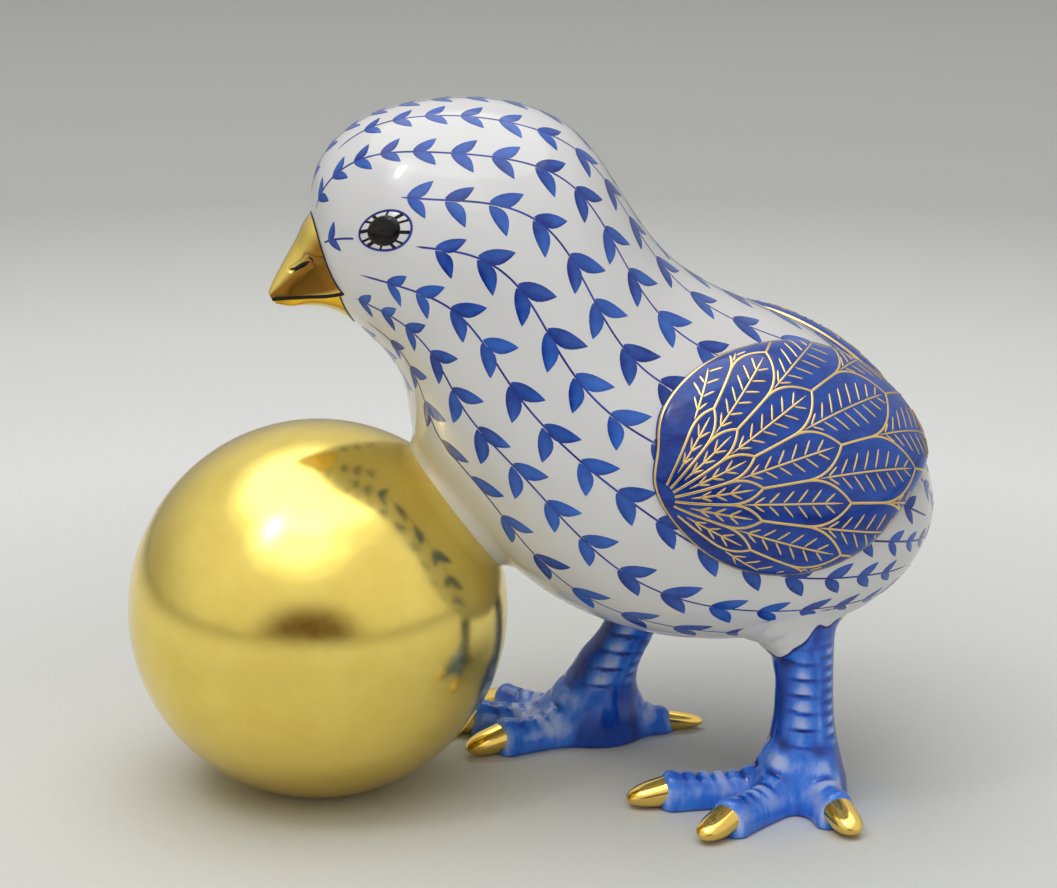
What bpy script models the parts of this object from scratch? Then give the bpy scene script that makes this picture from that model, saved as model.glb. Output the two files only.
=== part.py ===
"""Porcelain chick figurine that leans its breast on a ball, cast, joined and glazed as one piece.

The chick looks along -X and stands on the floor plane Z = 0. Its middle plane is Y = 0, and its left side
faces -Y. The origin ends at the middle of the underside of the figurine's bounding box.
"""

import math

import bmesh
import bpy
import numpy as np
from mathutils import Matrix, Vector

MM = 0.001

# Ball
BALL_RADIUS = 20.7 * MM
BALL_FOOT_RADIUS = 4.6 * MM
BALL_SEAT_DEPTH = 1.9 * MM
BALL_SEGMENTS = 42

# Pad of slip that joins the ball to the breast
PAD_RADIUS = 8.0 * MM
PAD_DROP = 0.7 * MM
PAD_ROOT = 2.5 * MM
PAD_SEGMENTS = 36

# Body, from the face to the rump. Each row is one cross-section: where it meets the middle plane above
# and below (x, z each), and its half width.
FACE_POLE = (0.7, 60.2)
RUMP_POLE = (67.5, 28.2)
BODY_ROWS = (
    (0.2, 66.4, 2.6, 55.0, 5.6),
    (2.2, 71.1, 5.2, 51.7, 9.2),
    (6.5, 74.3, 8.3, 48.3, 12.2),
    (12.6, 75.8, 9.9, 44.6, 14.3),
    (19.4, 75.8, 10.5, 41.2, 15.7),
    (25.8, 73.9, 11.2, 37.9, 16.8),
    (30.4, 69.9, 12.9, 34.6, 18.0),
    (34.2, 64.1, 15.6, 31.0, 19.4),
    (38.8, 58.3, 19.2, 27.0, 20.9),
    (45.0, 54.3, 24.2, 22.6, 22.0),
    (51.4, 51.4, 30.4, 19.2, 22.4),
    (57.4, 47.8, 37.6, 17.2, 21.7),
    (62.3, 43.4, 45.6, 16.8, 19.7),
    (65.8, 38.7, 54.2, 18.0, 15.8),
    (67.6, 33.6, 61.8, 21.6, 9.8),
)
BREAST_ROWS = (4, 12)
BREAST_STEPS = 400
BODY_RINGS_PER_ROW = 2
BODY_SEGMENTS = 40
BELLY_FULLNESS = 0.07

# Wings, raised lobes on the flanks. The outline runs round the left wing in the body's own coordinates:
# the cross-section's number, and the angle in degrees from the back down the side.
WING_OUTLINE = (
    (9.6, 80), (9.4, 68), (9.7, 48), (10.4, 31), (11.3, 18), (12.4, 11), (13.4, 12), (14.0, 26),
    (13.95, 45), (13.6, 68), (13.2, 87), (12.4, 100), (11.4, 103), (10.5, 98), (9.85, 90),
)
WING_CENTRE = (11.8, 58)
WING_LIFT = 1.8 * MM
WING_DOME = 0.4 * MM
WING_ROOT = 1.5 * MM
WING_SEGMENTS = 36

# Feet: where the toes meet, and each toe's heading in degrees from straight ahead towards the left and
# its reach with the claw
LEFT_FOOT = (52.3 * MM, -11.3 * MM)
RIGHT_FOOT = (32.6 * MM, 11.1 * MM)
LEFT_TOES = ((2, 19.7 * MM), (43, 18.4 * MM), (103, 13.4 * MM), (250, 10.6 * MM))
RIGHT_TOES = ((20, 16.8 * MM), (-10, 18.4 * MM), (-38, 17.4 * MM), (186, 12.6 * MM))
TOE_HALF_WIDTH = 2.2 * MM
TOE_HEIGHT = 4.1 * MM
TOE_ROOT_RISE = 3.4 * MM
TOE_ROOT_LENGTH = 4.4 * MM
TOE_END = ((-0.25 * MM, 0.9), (0.15 * MM, 0.62))
KNUCKLE_RELIEF = 0.18 * MM
KNUCKLES = 4
CLAW_LENGTH = 3.9 * MM
CLAW_RADIUS = 1.84 * MM
CLAW_NARROWING = 0.2
CLAW_THINNING = 0.55
CLAW_ROOT = 1.4 * MM
CLAW_FLOOR_GAP = 0.1 * MM
CLAW_SEGMENTS = 12
SOLE_DEPTH = 0.8 * MM
TOE_STAGGER = 0.25 * MM

# Legs, from below the floor up into the belly. Each row is a section: its height, how far its middle is
# shifted along X and Y from the middle of the foot, and its half length along X and half width along Y.
LEG_SEGMENTS = 18
LEFT_LEG_ROWS = (
    (-1.6, 0.1, 0.0, 4.7, 4.5),
    (2.6, 0.1, 0.0, 4.5, 4.3),
    (5.4, -0.1, 0.0, 3.9, 3.8),
    (8.0, -0.2, 0.0, 3.4, 3.4),
    (11.5, -0.2, -0.1, 3.2, 3.2),
    (14.8, -0.3, -0.2, 3.2, 3.2),
    (17.2, -0.7, -0.2, 3.6, 3.5),
    (19.2, -1.8, -0.1, 4.9, 4.2),
    (21.2, -3.4, 0.3, 6.8, 5.1),
    (23.5, -4.5, 0.8, 8.0, 5.6),
)
RIGHT_LEG_ROWS = (
    (-1.6, 0.0, 0.0, 4.9, 4.6),
    (2.6, 0.0, 0.0, 4.7, 4.4),
    (5.6, 0.0, 0.0, 4.1, 3.9),
    (8.2, 1.1, 0.0, 3.4, 3.4),
    (12.0, 3.0, 0.0, 3.2, 3.2),
    (15.6, 4.7, 0.0, 3.2, 3.2),
    (18.0, 6.0, 0.0, 3.6, 3.5),
    (20.0, 7.2, -0.1, 4.6, 4.2),
    (22.0, 8.4, -0.3, 5.8, 5.0),
)

# Beak. Each row is a section from its root in the head to its tip: ridge x and z, edge x and z, half
# width at the edge, the x and z of the lower jaw's keel, and the upper jaw's roundness. A jaw of roundness 1
# would be a tent and one of roundness 2 a round arch.
BEAK_ROWS = (
    (3.6, 66.0, 9.0, 58.4, 9.4, 8.2, 50.2, 2.6),
    (0.0, 63.9, 4.8, 57.2, 7.5, 4.7, 52.2, 2.4),
    (-1.7, 61.0, 1.9, 56.1, 5.2, 1.9, 53.7, 2.1),
    (-3.1, 58.6, -0.7, 55.6, 3.3, -0.4, 54.1, 1.9),
    (-4.1, 56.7, -2.9, 55.2, 1.8, -2.4, 54.0, 1.7),
    (-4.6, 55.5, -4.2, 54.9, 0.8, -4.0, 54.3, 1.7),
)
LOWER_JAW_ROUNDNESS = 2.2
BEAK_STEP = 0.35 * MM
BEAK_SETBACK = 0.15 * MM
NOSTRIL_CENTRE = (-1.1 * MM, 3.6 * MM, 59.0 * MM)
NOSTRIL_HALF_LENGTH = 1.4 * MM
NOSTRIL_DEPTH = 0.8 * MM
NOSTRIL_SLOPE = 38

# Eyes, low domes on the sides of the head, in the body's own coordinates like the wings
EYE_CENTRE = (2.97, 77)
EYE_RADII = (3.1 * MM, 2.4 * MM, 1.4 * MM)
EYE_LIFT = 0.25 * MM
PUPIL_RADII = (1.7 * MM, 1.7 * MM, 1.1 * MM)
PUPIL_LIFT = 0.4 * MM

# Folds sharper than this stay crisp, and faces that look straight down are soles
SHARP_FOLD = math.radians(42)
SOLE_FLATNESS = 0.9999

# Edges shorter than this, left where two forms cross, are merged away
SLIVER = 0.02 * MM

FLOOR_CUTTER_SIZE = 200 * MM


def ring_spline(values):
    """Control values of the closed cubic B-spline that passes through these values in turn."""
    count = len(values)
    matrix = np.zeros((count, count))
    for i in range(count):
        matrix[i, i] = 4 / 6
        matrix[i, i - 1] = 1 / 6
        matrix[i, (i + 1) % count] = 1 / 6
    return np.linalg.solve(matrix, np.array(values, float))


def spline_at(control, u):
    """The spline's value at u, where whole numbers are the values that it passes through."""
    base = math.floor(u)
    f = u - base
    weights = (
        (1 - f) ** 3 / 6,
        (3 * f**3 - 6 * f**2 + 4) / 6,
        (-3 * f**3 + 3 * f**2 + 3 * f + 1) / 6,
        f**3 / 6,
    )
    count = len(control)
    return sum(w * control[(base - 1 + k) % count] for k, w in enumerate(weights))


class Body:
    """The chick's head, neck and body as one smooth skin between a back line and a belly line."""

    def __init__(self):
        above = [row[0:2] for row in BODY_ROWS]
        below = [row[2:4] for row in reversed(BODY_ROWS)]
        widths = [row[4] for row in BODY_ROWS]
        outline = [FACE_POLE, *above, RUMP_POLE, *below]
        self.outline = ring_spline(outline) * MM
        self.width = ring_spline([0, *widths, 0, *(-w for w in reversed(widths))]) * MM
        self.last = len(BODY_ROWS) + 1

    def point(self, t, angle):
        """Surface point of cross-section t, with the angle measured from the back towards the left."""
        top = spline_at(self.outline, t)
        bottom = spline_at(self.outline, -t)
        middle = (top + bottom) / 2
        rise = (top - bottom) / 2 * math.cos(angle)
        fullness = 1 - BELLY_FULLNESS * math.cos(angle)
        y = -spline_at(self.width, t) * math.sin(angle) * fullness
        return Vector((middle[0] + rise[0], y, middle[1] + rise[1]))

    def above(self, t, degrees, side, lift):
        """A point lifted off the skin on the left side (-1) or the right side (1), and the way out there."""
        a = math.radians(degrees)
        step = 0.01
        along = self.point(t + step, a) - self.point(t - step, a)
        down = self.point(t, a + step) - self.point(t, a - step)
        out = down.cross(along).normalized()
        raised = self.point(t, a) + out * lift
        mirror = Vector((1, -side, 1))
        return raised * mirror, out * mirror

    def rings(self, per_row, segments):
        """The cross-sections between the two poles, closer together near the poles."""
        steps = [0.35, 0.7]
        steps += [1 + k / per_row for k in range((self.last - 2) * per_row + 1)]
        steps += [self.last - 0.7, self.last - 0.35]
        angles = [2 * math.pi * k / segments for k in range(segments)]
        return [[self.point(t, a) for a in angles] for t in steps]

    def poles(self):
        return self.point(0, 0), self.point(self.last, 0)


def new_object(name, bm, material):
    """An object with flat triangles, so that a join never has to bend a face."""
    bmesh.ops.triangulate(bm, faces=bm.faces)
    mesh = bpy.data.meshes.new(name)
    bm.to_mesh(mesh)
    bm.free()
    mesh.materials.append(material)
    made = bpy.data.objects.new(name, mesh)
    bpy.context.scene.collection.objects.link(made)
    return made


def loft(name, rings, material, first_pole=None, last_pole=None):
    """A closed skin over rings of points. Each end is a fan to a pole, or a flat cap."""
    bm = bmesh.new()
    rows = [[bm.verts.new(p) for p in ring] for ring in rings]
    for low, high in zip(rows, rows[1:]):
        for k in range(len(low)):
            bm.faces.new((low[k - 1], low[k], high[k], high[k - 1]))
    for row, pole in ((rows[0], first_pole), (rows[-1], last_pole)):
        if pole is None:
            bm.faces.new(row)
            continue
        tip = bm.verts.new(pole)
        for k in range(len(row)):
            bm.faces.new((row[k - 1], row[k], tip))
    bmesh.ops.recalc_face_normals(bm, faces=bm.faces)
    return new_object(name, bm, material)


def glaze(name, colour, roughness, metallic=0.0):
    material = bpy.data.materials.new(name)
    material.use_nodes = True
    shader = material.node_tree.nodes["Principled BSDF"]
    shader.inputs["Base Color"].default_value = (*colour, 1)
    shader.inputs["Roughness"].default_value = roughness
    shader.inputs["Metallic"].default_value = metallic
    return material


def ellipsoid(name, centre, radii, material, segments, turn=None):
    """A round form with the given half sizes along its own axes, turned by a matrix."""
    bm = bmesh.new()
    bmesh.ops.create_uvsphere(bm, u_segments=segments, v_segments=segments // 2, radius=1)
    place = Matrix.Translation(centre) @ (turn or Matrix.Identity(4)) @ Matrix.Diagonal((*radii, 1))
    bmesh.ops.transform(bm, matrix=place, verts=bm.verts)
    return new_object(name, bm, material)


def build_body(body, material):
    face, rump = body.poles()
    return loft("body", body.rings(BODY_RINGS_PER_ROW, BODY_SEGMENTS), material, face, rump)


def build_wing(name, body, side, material):
    """A raised lobe with a round shoulder, much the same thickness all over, sunk into the flank."""
    shares = (1.0, 0.985, 0.95, 0.88, 0.76, 0.58, 0.36, 0.16)
    outline = ring_spline(WING_OUTLINE)
    centre = np.array(WING_CENTRE, float)
    count = len(WING_OUTLINE)
    steps = [count * k / WING_SEGMENTS for k in range(WING_SEGMENTS)]
    rings = [[body.above(*spline_at(outline, u), side, -WING_ROOT)[0] for u in steps]]
    for share in shares:
        lift = WING_LIFT * math.sqrt(1 - share**8) + WING_DOME * (1 - share**2)
        ring = [centre + (spline_at(outline, u) - centre) * share for u in steps]
        rings.append([body.above(*place, side, lift)[0] for place in ring])
    crown, _ = body.above(*centre, side, WING_LIFT + WING_DOME)
    return loft(name, rings, material, last_pole=crown)


def ball_place(body):
    """Centre of the ball: on the floor by its flat foot, and sunk by its seat depth into the breast."""
    z = math.sqrt(BALL_RADIUS**2 - BALL_FOOT_RADIUS**2)
    reach = BALL_RADIUS - BALL_SEAT_DEPTH
    best_x = math.inf
    touch = None
    first, last = BREAST_ROWS
    for k in range(BREAST_STEPS):
        p = body.point(first + (last - first) * k / BREAST_STEPS, math.pi)
        room = reach**2 - (p.z - z) ** 2
        if room > 0 and p.x - math.sqrt(room) < best_x:
            best_x = p.x - math.sqrt(room)
            touch = p
    return Vector((best_x, 0, z)), touch


def build_pad(centre, touch, material):
    """A thin round disc between the ball and the breast, a little below the touching point."""
    out = (touch - centre).normalized()
    up = Vector((-out.z, 0, out.x))
    side = Vector((0, 1, 0))
    start = math.sqrt(BALL_RADIUS**2 - (PAD_RADIUS + PAD_DROP) ** 2) - PAD_ROOT / 2
    rings = []
    for distance in (start, BALL_RADIUS - BALL_SEAT_DEPTH + PAD_ROOT):
        middle = centre + out * distance - up * PAD_DROP
        angles = [2 * math.pi * k / PAD_SEGMENTS for k in range(PAD_SEGMENTS)]
        rings.append([middle + (up * math.cos(a) + side * math.sin(a)) * PAD_RADIUS for a in angles])
    return loft("pad", rings, material)


def build_leg(name, foot, rows, material):
    """A round shank that spreads into the foot below and flares into the belly above."""
    rings = []
    for z, x, y, half_length, half_width in rows:
        middle = Vector((*foot, 0)) + Vector((x, y, z)) * MM
        angles = [2 * math.pi * k / LEG_SEGMENTS for k in range(LEG_SEGMENTS)]
        along = Vector((half_length, 0, 0)) * MM
        across = Vector((0, half_width, 0)) * MM
        rings.append([middle + along * math.cos(a) + across * math.sin(a) for a in angles])
    return loft(name, rings, material)


def toe_frame(heading):
    """The ways along and across a toe that points this many degrees from -X towards -Y."""
    a = math.radians(heading)
    along = Vector((-math.cos(a), -math.sin(a), 0))
    return along, Vector((-along.y, along.x, 0))


def build_toe(name, foot, heading, reach, stagger, material):
    """A toe with an arched back of knuckles, upright sides and a blunt end.

    The stagger sets back its root and lowers its underside, so that no two toes share a flat face.
    """
    along, across = toe_frame(heading)
    start = Vector((*foot, 0))
    length = reach - CLAW_LENGTH
    stations = [(-stagger, 0.0)]
    first = TOE_ROOT_LENGTH * 0.8
    for k in range(2 * KNUCKLES + 1):
        crest = 1 if k % 2 else -1
        stations.append((first + (length - 0.9 * MM - first) * k / (2 * KNUCKLES), crest))
    rings = []
    for distance, crest in stations:
        share = distance / length
        rise = TOE_ROOT_RISE * math.exp(-((distance / TOE_ROOT_LENGTH) ** 2))
        height = TOE_HEIGHT * (1 - 0.12 * math.sin(math.pi * share)) + rise + crest * KNUCKLE_RELIEF
        width = TOE_HALF_WIDTH * (1.12 - 0.2 * math.sin(math.pi * share))
        rings.append(toe_section(start + along * distance, across, width, height, SOLE_DEPTH + stagger))
    for distance, size in TOE_END:
        middle = start + along * (length + distance)
        width = TOE_HALF_WIDTH * size
        rings.append(toe_section(middle, across, width, TOE_HEIGHT * size, SOLE_DEPTH + stagger))
    return loft(name, rings, material)


def toe_section(middle, across, width, height, sole):
    """An arch over the floor with a flat underside, which the floor later trims."""
    arch = 8
    section = []
    for k in range(arch + 1):
        a = math.pi * k / arch
        out = math.copysign(abs(math.cos(a)) ** 0.85, math.cos(a))
        section.append(middle + across * width * out + Vector((0, 0, height * math.sin(a))))
    section.append(middle - across * width - Vector((0, 0, sole)))
    section.append(middle + across * width - Vector((0, 0, sole)))
    return section


def build_claw(name, foot, heading, reach, material):
    """A blunt horn that fills the end of a toe, lies along the floor and thins towards its round end."""
    along, across = toe_frame(heading)
    root = Vector((*foot, 0)) + along * (reach - CLAW_LENGTH - CLAW_ROOT)
    run = CLAW_LENGTH + CLAW_ROOT
    angles = [2 * math.pi * k / CLAW_SEGMENTS for k in range(CLAW_SEGMENTS)]
    rings = []
    for share in (0, 0.3, 0.55, 0.74, 0.87, 0.95, 1):
        rounding = math.sqrt(1 - share**4)
        width = CLAW_RADIUS * (1 - CLAW_NARROWING * share) * rounding
        height = CLAW_RADIUS * (1 - CLAW_THINNING * share)
        middle = root + along * run * share + Vector((0, 0, height + CLAW_FLOOR_GAP))
        sides = [across * width * math.cos(a) for a in angles]
        rises = [Vector((0, 0, height * rounding * math.sin(a))) for a in angles]
        rings.append([middle + out + up for out, up in zip(sides, rises)])
    tip = rings.pop()[0]
    return loft(name, rings, material, last_pole=tip)


def build_foot(side, foot, toes, cobalt, gold):
    made = []
    for number, (heading, reach) in enumerate(toes, 1):
        made.append(build_toe(f"{side}_toe_{number}", foot, heading, reach, TOE_STAGGER * number, cobalt))
        made.append(build_claw(f"{side}_claw_{number}", foot, heading, reach, gold))
    return made


def build_beak(material):
    """The upper jaw overhangs the lower one by a small step, which reads as the line of the mouth."""
    upper = []
    lower = []
    for ridge_x, ridge_z, edge_x, edge_z, width, keel_x, keel_z, roundness in BEAK_ROWS:
        ridge = Vector((ridge_x, 0, ridge_z)) * MM
        edge = Vector((edge_x, 0, edge_z)) * MM
        keel = Vector((keel_x, 0, keel_z)) * MM
        upper.append(jaw_section(edge, ridge, width * MM, roundness))
        setback = Vector((BEAK_SETBACK, 0, 0))
        inside = edge.lerp(ridge, 0.12) + setback
        narrower = max(width * MM - BEAK_STEP, width * MM / 2)
        lower.append(jaw_section(inside, keel + setback, narrower, LOWER_JAW_ROUNDNESS))
    return [loft("upper_beak", upper, material), loft("lower_beak", lower, material)]


def jaw_section(edge, crest, width, roundness):
    """From one edge of the jaw over its crest to the other edge, between a tent and a round arch."""
    steps = 12
    section = []
    for k in range(steps + 1):
        across = math.cos(math.pi * k / steps)
        share = 1 - abs(across) ** roundness
        section.append(edge.lerp(crest, share) + Vector((0, width * across, 0)))
    return section


def nostril(name, side, material):
    x, y, z = NOSTRIL_CENTRE
    turn = Matrix.Rotation(math.radians(-NOSTRIL_SLOPE), 4, "Y")
    radii = (NOSTRIL_HALF_LENGTH, NOSTRIL_DEPTH, 0.35 * MM)
    return ellipsoid(name, Vector((x, side * y, z)), radii, material, 12, turn)


def eye_dome(name, body, side, radii, lift, segments, material):
    """A low oval dome whose middle stands proud of the side of the head."""
    centre, out = body.above(*EYE_CENTRE, side, lift - radii[2])
    turn = out.to_track_quat("Z", "Y").to_matrix().to_4x4()
    return ellipsoid(name, centre, radii, material, segments, turn)


def combine(base, others, operation):
    """Joins other forms to the base, or cuts them out, in one step, and removes them."""
    group = bpy.data.collections.new(operation)
    for other in others:
        group.objects.link(other)
    modifier = base.modifiers.new(operation, "BOOLEAN")
    modifier.operation = operation
    modifier.solver = "EXACT"
    modifier.material_mode = "TRANSFER"
    modifier.operand_type = "COLLECTION"
    modifier.collection = group
    bpy.context.view_layer.update()
    graph = bpy.context.evaluated_depsgraph_get()
    result = bpy.data.meshes.new_from_object(base.evaluated_get(graph))
    base.modifiers.clear()
    base.data = result
    for other in others:
        bpy.data.objects.remove(other)
    bpy.data.collections.remove(group)
    bm = bmesh.new()
    bm.from_mesh(result)
    bmesh.ops.remove_doubles(bm, verts=bm.verts, dist=SLIVER)
    bmesh.ops.dissolve_degenerate(bm, edges=bm.edges, dist=SLIVER)
    bmesh.ops.triangulate(bm, faces=bm.faces)
    bm.to_mesh(result)
    bm.free()


def floor_cutter(material):
    bm = bmesh.new()
    bmesh.ops.create_cube(bm, size=FLOOR_CUTTER_SIZE)
    bmesh.ops.translate(bm, vec=(0, 0, -FLOOR_CUTTER_SIZE / 2), verts=bm.verts)
    return new_object("floor_cutter", bm, material)


def smooth(mesh):
    """Shades the skin smooth, with crisp edges at the sharp folds and around the flat soles."""
    bm = bmesh.new()
    bm.from_mesh(mesh)
    for face in bm.faces:
        face.smooth = True
    for edge in bm.edges:
        soles = sum(face.normal.z < -SOLE_FLATNESS for face in edge.link_faces)
        edge.smooth = soles != 1 and edge.calc_face_angle(math.pi) < SHARP_FOLD
    bm.to_mesh(mesh)
    bm.free()


def main():
    for old in list(bpy.data.objects):
        bpy.data.objects.remove(old)

    white = glaze("white_glaze", (0.86, 0.85, 0.82), 0.1)
    cobalt = glaze("cobalt_glaze", (0.02, 0.08, 0.45), 0.1)
    gold = glaze("gilding", (0.83, 0.62, 0.22), 0.12, 1.0)
    enamel = glaze("black_enamel", (0.01, 0.01, 0.01), 0.1)

    body = Body()
    figurine = build_body(body, white)

    ball_centre, touch = ball_place(body)
    forms = [
        build_wing("left_wing", body, -1, cobalt),
        build_wing("right_wing", body, 1, cobalt),
        build_leg("left_leg", LEFT_FOOT, LEFT_LEG_ROWS, cobalt),
        build_leg("right_leg", RIGHT_FOOT, RIGHT_LEG_ROWS, cobalt),
        *build_foot("left", LEFT_FOOT, LEFT_TOES, cobalt, gold),
        *build_foot("right", RIGHT_FOOT, RIGHT_TOES, cobalt, gold),
        *build_beak(gold),
        build_pad(ball_centre, touch, white),
        ellipsoid("ball", ball_centre, (BALL_RADIUS,) * 3, gold, BALL_SEGMENTS),
    ]
    for side, label in ((-1, "left"), (1, "right")):
        forms.append(eye_dome(f"{label}_eye", body, side, EYE_RADII, EYE_LIFT, 20, white))
        forms.append(eye_dome(f"{label}_pupil", body, side, PUPIL_RADII, PUPIL_LIFT, 18, enamel))
    combine(figurine, forms, "UNION")
    cuts = [nostril("left_nostril", -1, gold), nostril("right_nostril", 1, gold), floor_cutter(white)]
    combine(figurine, cuts, "DIFFERENCE")

    corners = [v.co for v in figurine.data.vertices]
    low = Vector(map(min, zip(*corners)))
    high = Vector(map(max, zip(*corners)))
    middle = (low + high) / 2
    figurine.data.transform(Matrix.Translation((-middle.x, -middle.y, 0)))
    smooth(figurine.data)
    figurine.name = "chick_and_ball"


main()
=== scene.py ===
"""Looks of the porcelain chick on a gilded ball: glazed skin, cobalt and gold painting, and a plain studio.

The shapes repeat the part's source at a finer pitch, with softer joins. The painting and the gold lines
are thin raised skins on the surface below: generic stems with pairs of lancet leaves on the body, and a
fan of plain feathers on the wings. Numbers are in millimetres until a piece is made.
"""

import math

import bpy
import numpy as np
from mathutils import Matrix, Vector
from mathutils.bvhtree import BVHTree


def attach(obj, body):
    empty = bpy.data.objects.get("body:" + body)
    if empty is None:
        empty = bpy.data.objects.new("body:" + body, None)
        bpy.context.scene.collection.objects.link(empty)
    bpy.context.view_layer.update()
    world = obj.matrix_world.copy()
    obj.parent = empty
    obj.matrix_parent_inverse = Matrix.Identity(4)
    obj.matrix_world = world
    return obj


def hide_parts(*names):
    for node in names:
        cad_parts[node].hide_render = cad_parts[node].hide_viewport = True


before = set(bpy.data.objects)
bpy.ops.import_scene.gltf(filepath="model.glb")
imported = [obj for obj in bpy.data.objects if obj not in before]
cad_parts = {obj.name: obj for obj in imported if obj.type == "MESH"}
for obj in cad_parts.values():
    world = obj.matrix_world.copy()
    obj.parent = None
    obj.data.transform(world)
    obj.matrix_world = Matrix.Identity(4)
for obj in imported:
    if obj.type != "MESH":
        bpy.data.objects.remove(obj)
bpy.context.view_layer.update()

MM = 0.001

# The part's origin, the middle of its underside, as seen from the frame of the numbers below
ORIGIN = np.array((23.7671, -0.0516, 0)) * MM

# Shrinks every piece by a hair, so that no painted line stands outside the solid's own box
FIT = np.array((0.9978, 0.9960, 0.9993))

# Each side's label, and its sign along the axis that points to the right
SIDES = {"left": -1, "right": 1}

# Ball and the pad of slip behind it
BALL_RADIUS = 20.7
BALL_FOOT_RADIUS = 4.6
BALL_CENTRE = np.array((0.1707, 0, 20.182))
BREAST_TOUCH = np.array((14.88, 0, 31.89))
PAD_RADIUS = 8.0
PAD_DROP = 0.7

# Body, from the face to the rump: where each section meets the middle plane above and below, and its
# half width
FACE_POLE = (0.7, 60.2)
RUMP_POLE = (67.5, 28.2)
BODY_ROWS = (
    (0.2, 66.4, 2.6, 55.0, 5.6),
    (2.2, 71.1, 5.2, 51.7, 9.2),
    (6.5, 74.3, 8.3, 48.3, 12.2),
    (12.6, 75.8, 9.9, 44.6, 14.3),
    (19.4, 75.8, 10.5, 41.2, 15.7),
    (25.8, 73.9, 11.2, 37.9, 16.8),
    (30.4, 69.9, 12.9, 34.6, 18.0),
    (34.2, 64.1, 15.6, 31.0, 19.4),
    (38.8, 58.3, 19.2, 27.0, 20.9),
    (45.0, 54.3, 24.2, 22.6, 22.0),
    (51.4, 51.4, 30.4, 19.2, 22.4),
    (57.4, 47.8, 37.6, 17.2, 21.7),
    (62.3, 43.4, 45.6, 16.8, 19.7),
    (65.8, 38.7, 54.2, 18.0, 15.8),
    (67.6, 33.6, 61.8, 21.6, 9.8),
)
LAST = len(BODY_ROWS) + 1
BELLY_FULLNESS = 0.07

# Wings, in the body's own coordinates: the section's number and degrees from the back down the side
WING_OUTLINE = (
    (9.6, 80), (9.4, 68), (9.7, 48), (10.4, 31), (11.3, 18), (12.4, 11), (13.4, 12), (14.0, 26),
    (13.95, 45), (13.6, 68), (13.2, 87), (12.4, 100), (11.4, 103), (10.5, 98), (9.85, 90),
)
WING_CENTRE = np.array((11.8, 58))
WING_LIFT = 1.8
WING_DOME = 0.4
WING_ROOT_DEPTH = 0.6

# Feet: where the toes meet, and each toe's heading in degrees from straight ahead to the left and reach
FEET = {
    "left": ((52.3, -11.3), ((2, 19.7), (43, 18.4), (103, 13.4), (250, 10.6))),
    "right": ((32.6, 11.1), ((20, 16.8), (-10, 18.4), (-38, 17.4), (186, 12.6))),
}

# Shanks: each section's height, the offset of its middle from the foot's, and its half length and width
LEGS = {
    "left": (
        (-1.6, 0.1, 0.0, 4.7, 4.5), (2.6, 0.1, 0.0, 4.5, 4.3), (5.4, -0.1, 0.0, 3.9, 3.8),
        (8.0, -0.2, 0.0, 3.4, 3.4), (11.5, -0.2, -0.1, 3.2, 3.2), (14.8, -0.3, -0.2, 3.2, 3.2),
        (17.2, -0.7, -0.2, 3.6, 3.5), (19.2, -1.7, -0.1, 4.7, 4.1), (21.2, -3.2, 0.3, 6.6, 5.0),
        (23.5, -4.4, 0.8, 7.9, 5.6),
    ),
    "right": (
        (-1.6, 0.0, 0.0, 4.9, 4.6), (2.6, 0.0, 0.0, 4.7, 4.4), (5.6, 0.0, 0.0, 4.1, 3.9),
        (8.2, 1.1, 0.0, 3.4, 3.4), (12.0, 3.0, 0.0, 3.2, 3.2), (15.6, 4.7, 0.0, 3.2, 3.2),
        (18.0, 6.0, 0.0, 3.6, 3.5), (20.0, 7.2, -0.1, 4.6, 4.2), (22.0, 8.4, -0.3, 5.8, 5.0),
    ),
}
TOE_HALF_WIDTH = 2.2
TOE_HEIGHT = 4.1
TOE_ROOT_RISE = 3.4
TOE_ROOT_LENGTH = 4.4
CLAW_LENGTH = 3.9
CLAW_RADIUS = 1.84
CLAW_NARROWING = 0.1
CLAW_THINNING = 0.42
CLAW_ROOT = 1.4
CLAW_FLOOR_GAP = 0.1

# How widely the toes blend with the shank, the legs with the belly and the pad with the breast
TOE_BLEND = 2.2
BELLY_BLEND = 1.5
PAD_BLEND = 2.2

# The toe that points backwards is slimmer towards its end, and so is its claw
REAR_HEADING = 150
REAR_THINNING = 0.32

# Beak, from its root to its tip: ridge x and z, edge x and z, half width, the lower keel's x and z, and
# the upper jaw's roundness, which is 1 for a tent and 2 for a round arch
BEAK_ROWS = (
    (3.6, 66.0, 9.0, 58.4, 9.4, 8.2, 50.2, 2.6),
    (0.0, 63.9, 4.8, 57.2, 7.5, 4.7, 52.2, 2.4),
    (-1.7, 61.0, 1.9, 56.1, 5.2, 1.9, 53.7, 2.1),
    (-3.1, 58.6, -0.7, 55.6, 3.3, -0.4, 54.1, 1.9),
    (-4.1, 56.7, -2.9, 55.2, 1.8, -2.4, 54.0, 1.7),
    (-4.6, 55.5, -4.2, 54.9, 0.8, -4.0, 54.3, 1.7),
)
LOWER_JAW_ROUNDNESS = 2.2
BEAK_STEP = 0.35
BEAK_SETBACK = 0.15

# Nostrils: both ends of the slit and the middle of the small swelling above it, as x and z
NOSTRIL_SLIT = np.array(((-2.2, 58.2), (-0.3, 59.5)))
NOSTRIL_SWELLING = np.array((0.2, 60.2))

# Eyes: the middle, in the body's own coordinates as for the wings, and the half length and half height of
# the white and of the pupil
EYE_CENTRE = (2.97, 77)
EYE_RADII = (3.05, 2.0)
PUPIL_RADII = (1.95, 1.6)
EYE_LIFT = 0.3
EYE_TICKS = 12


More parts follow.
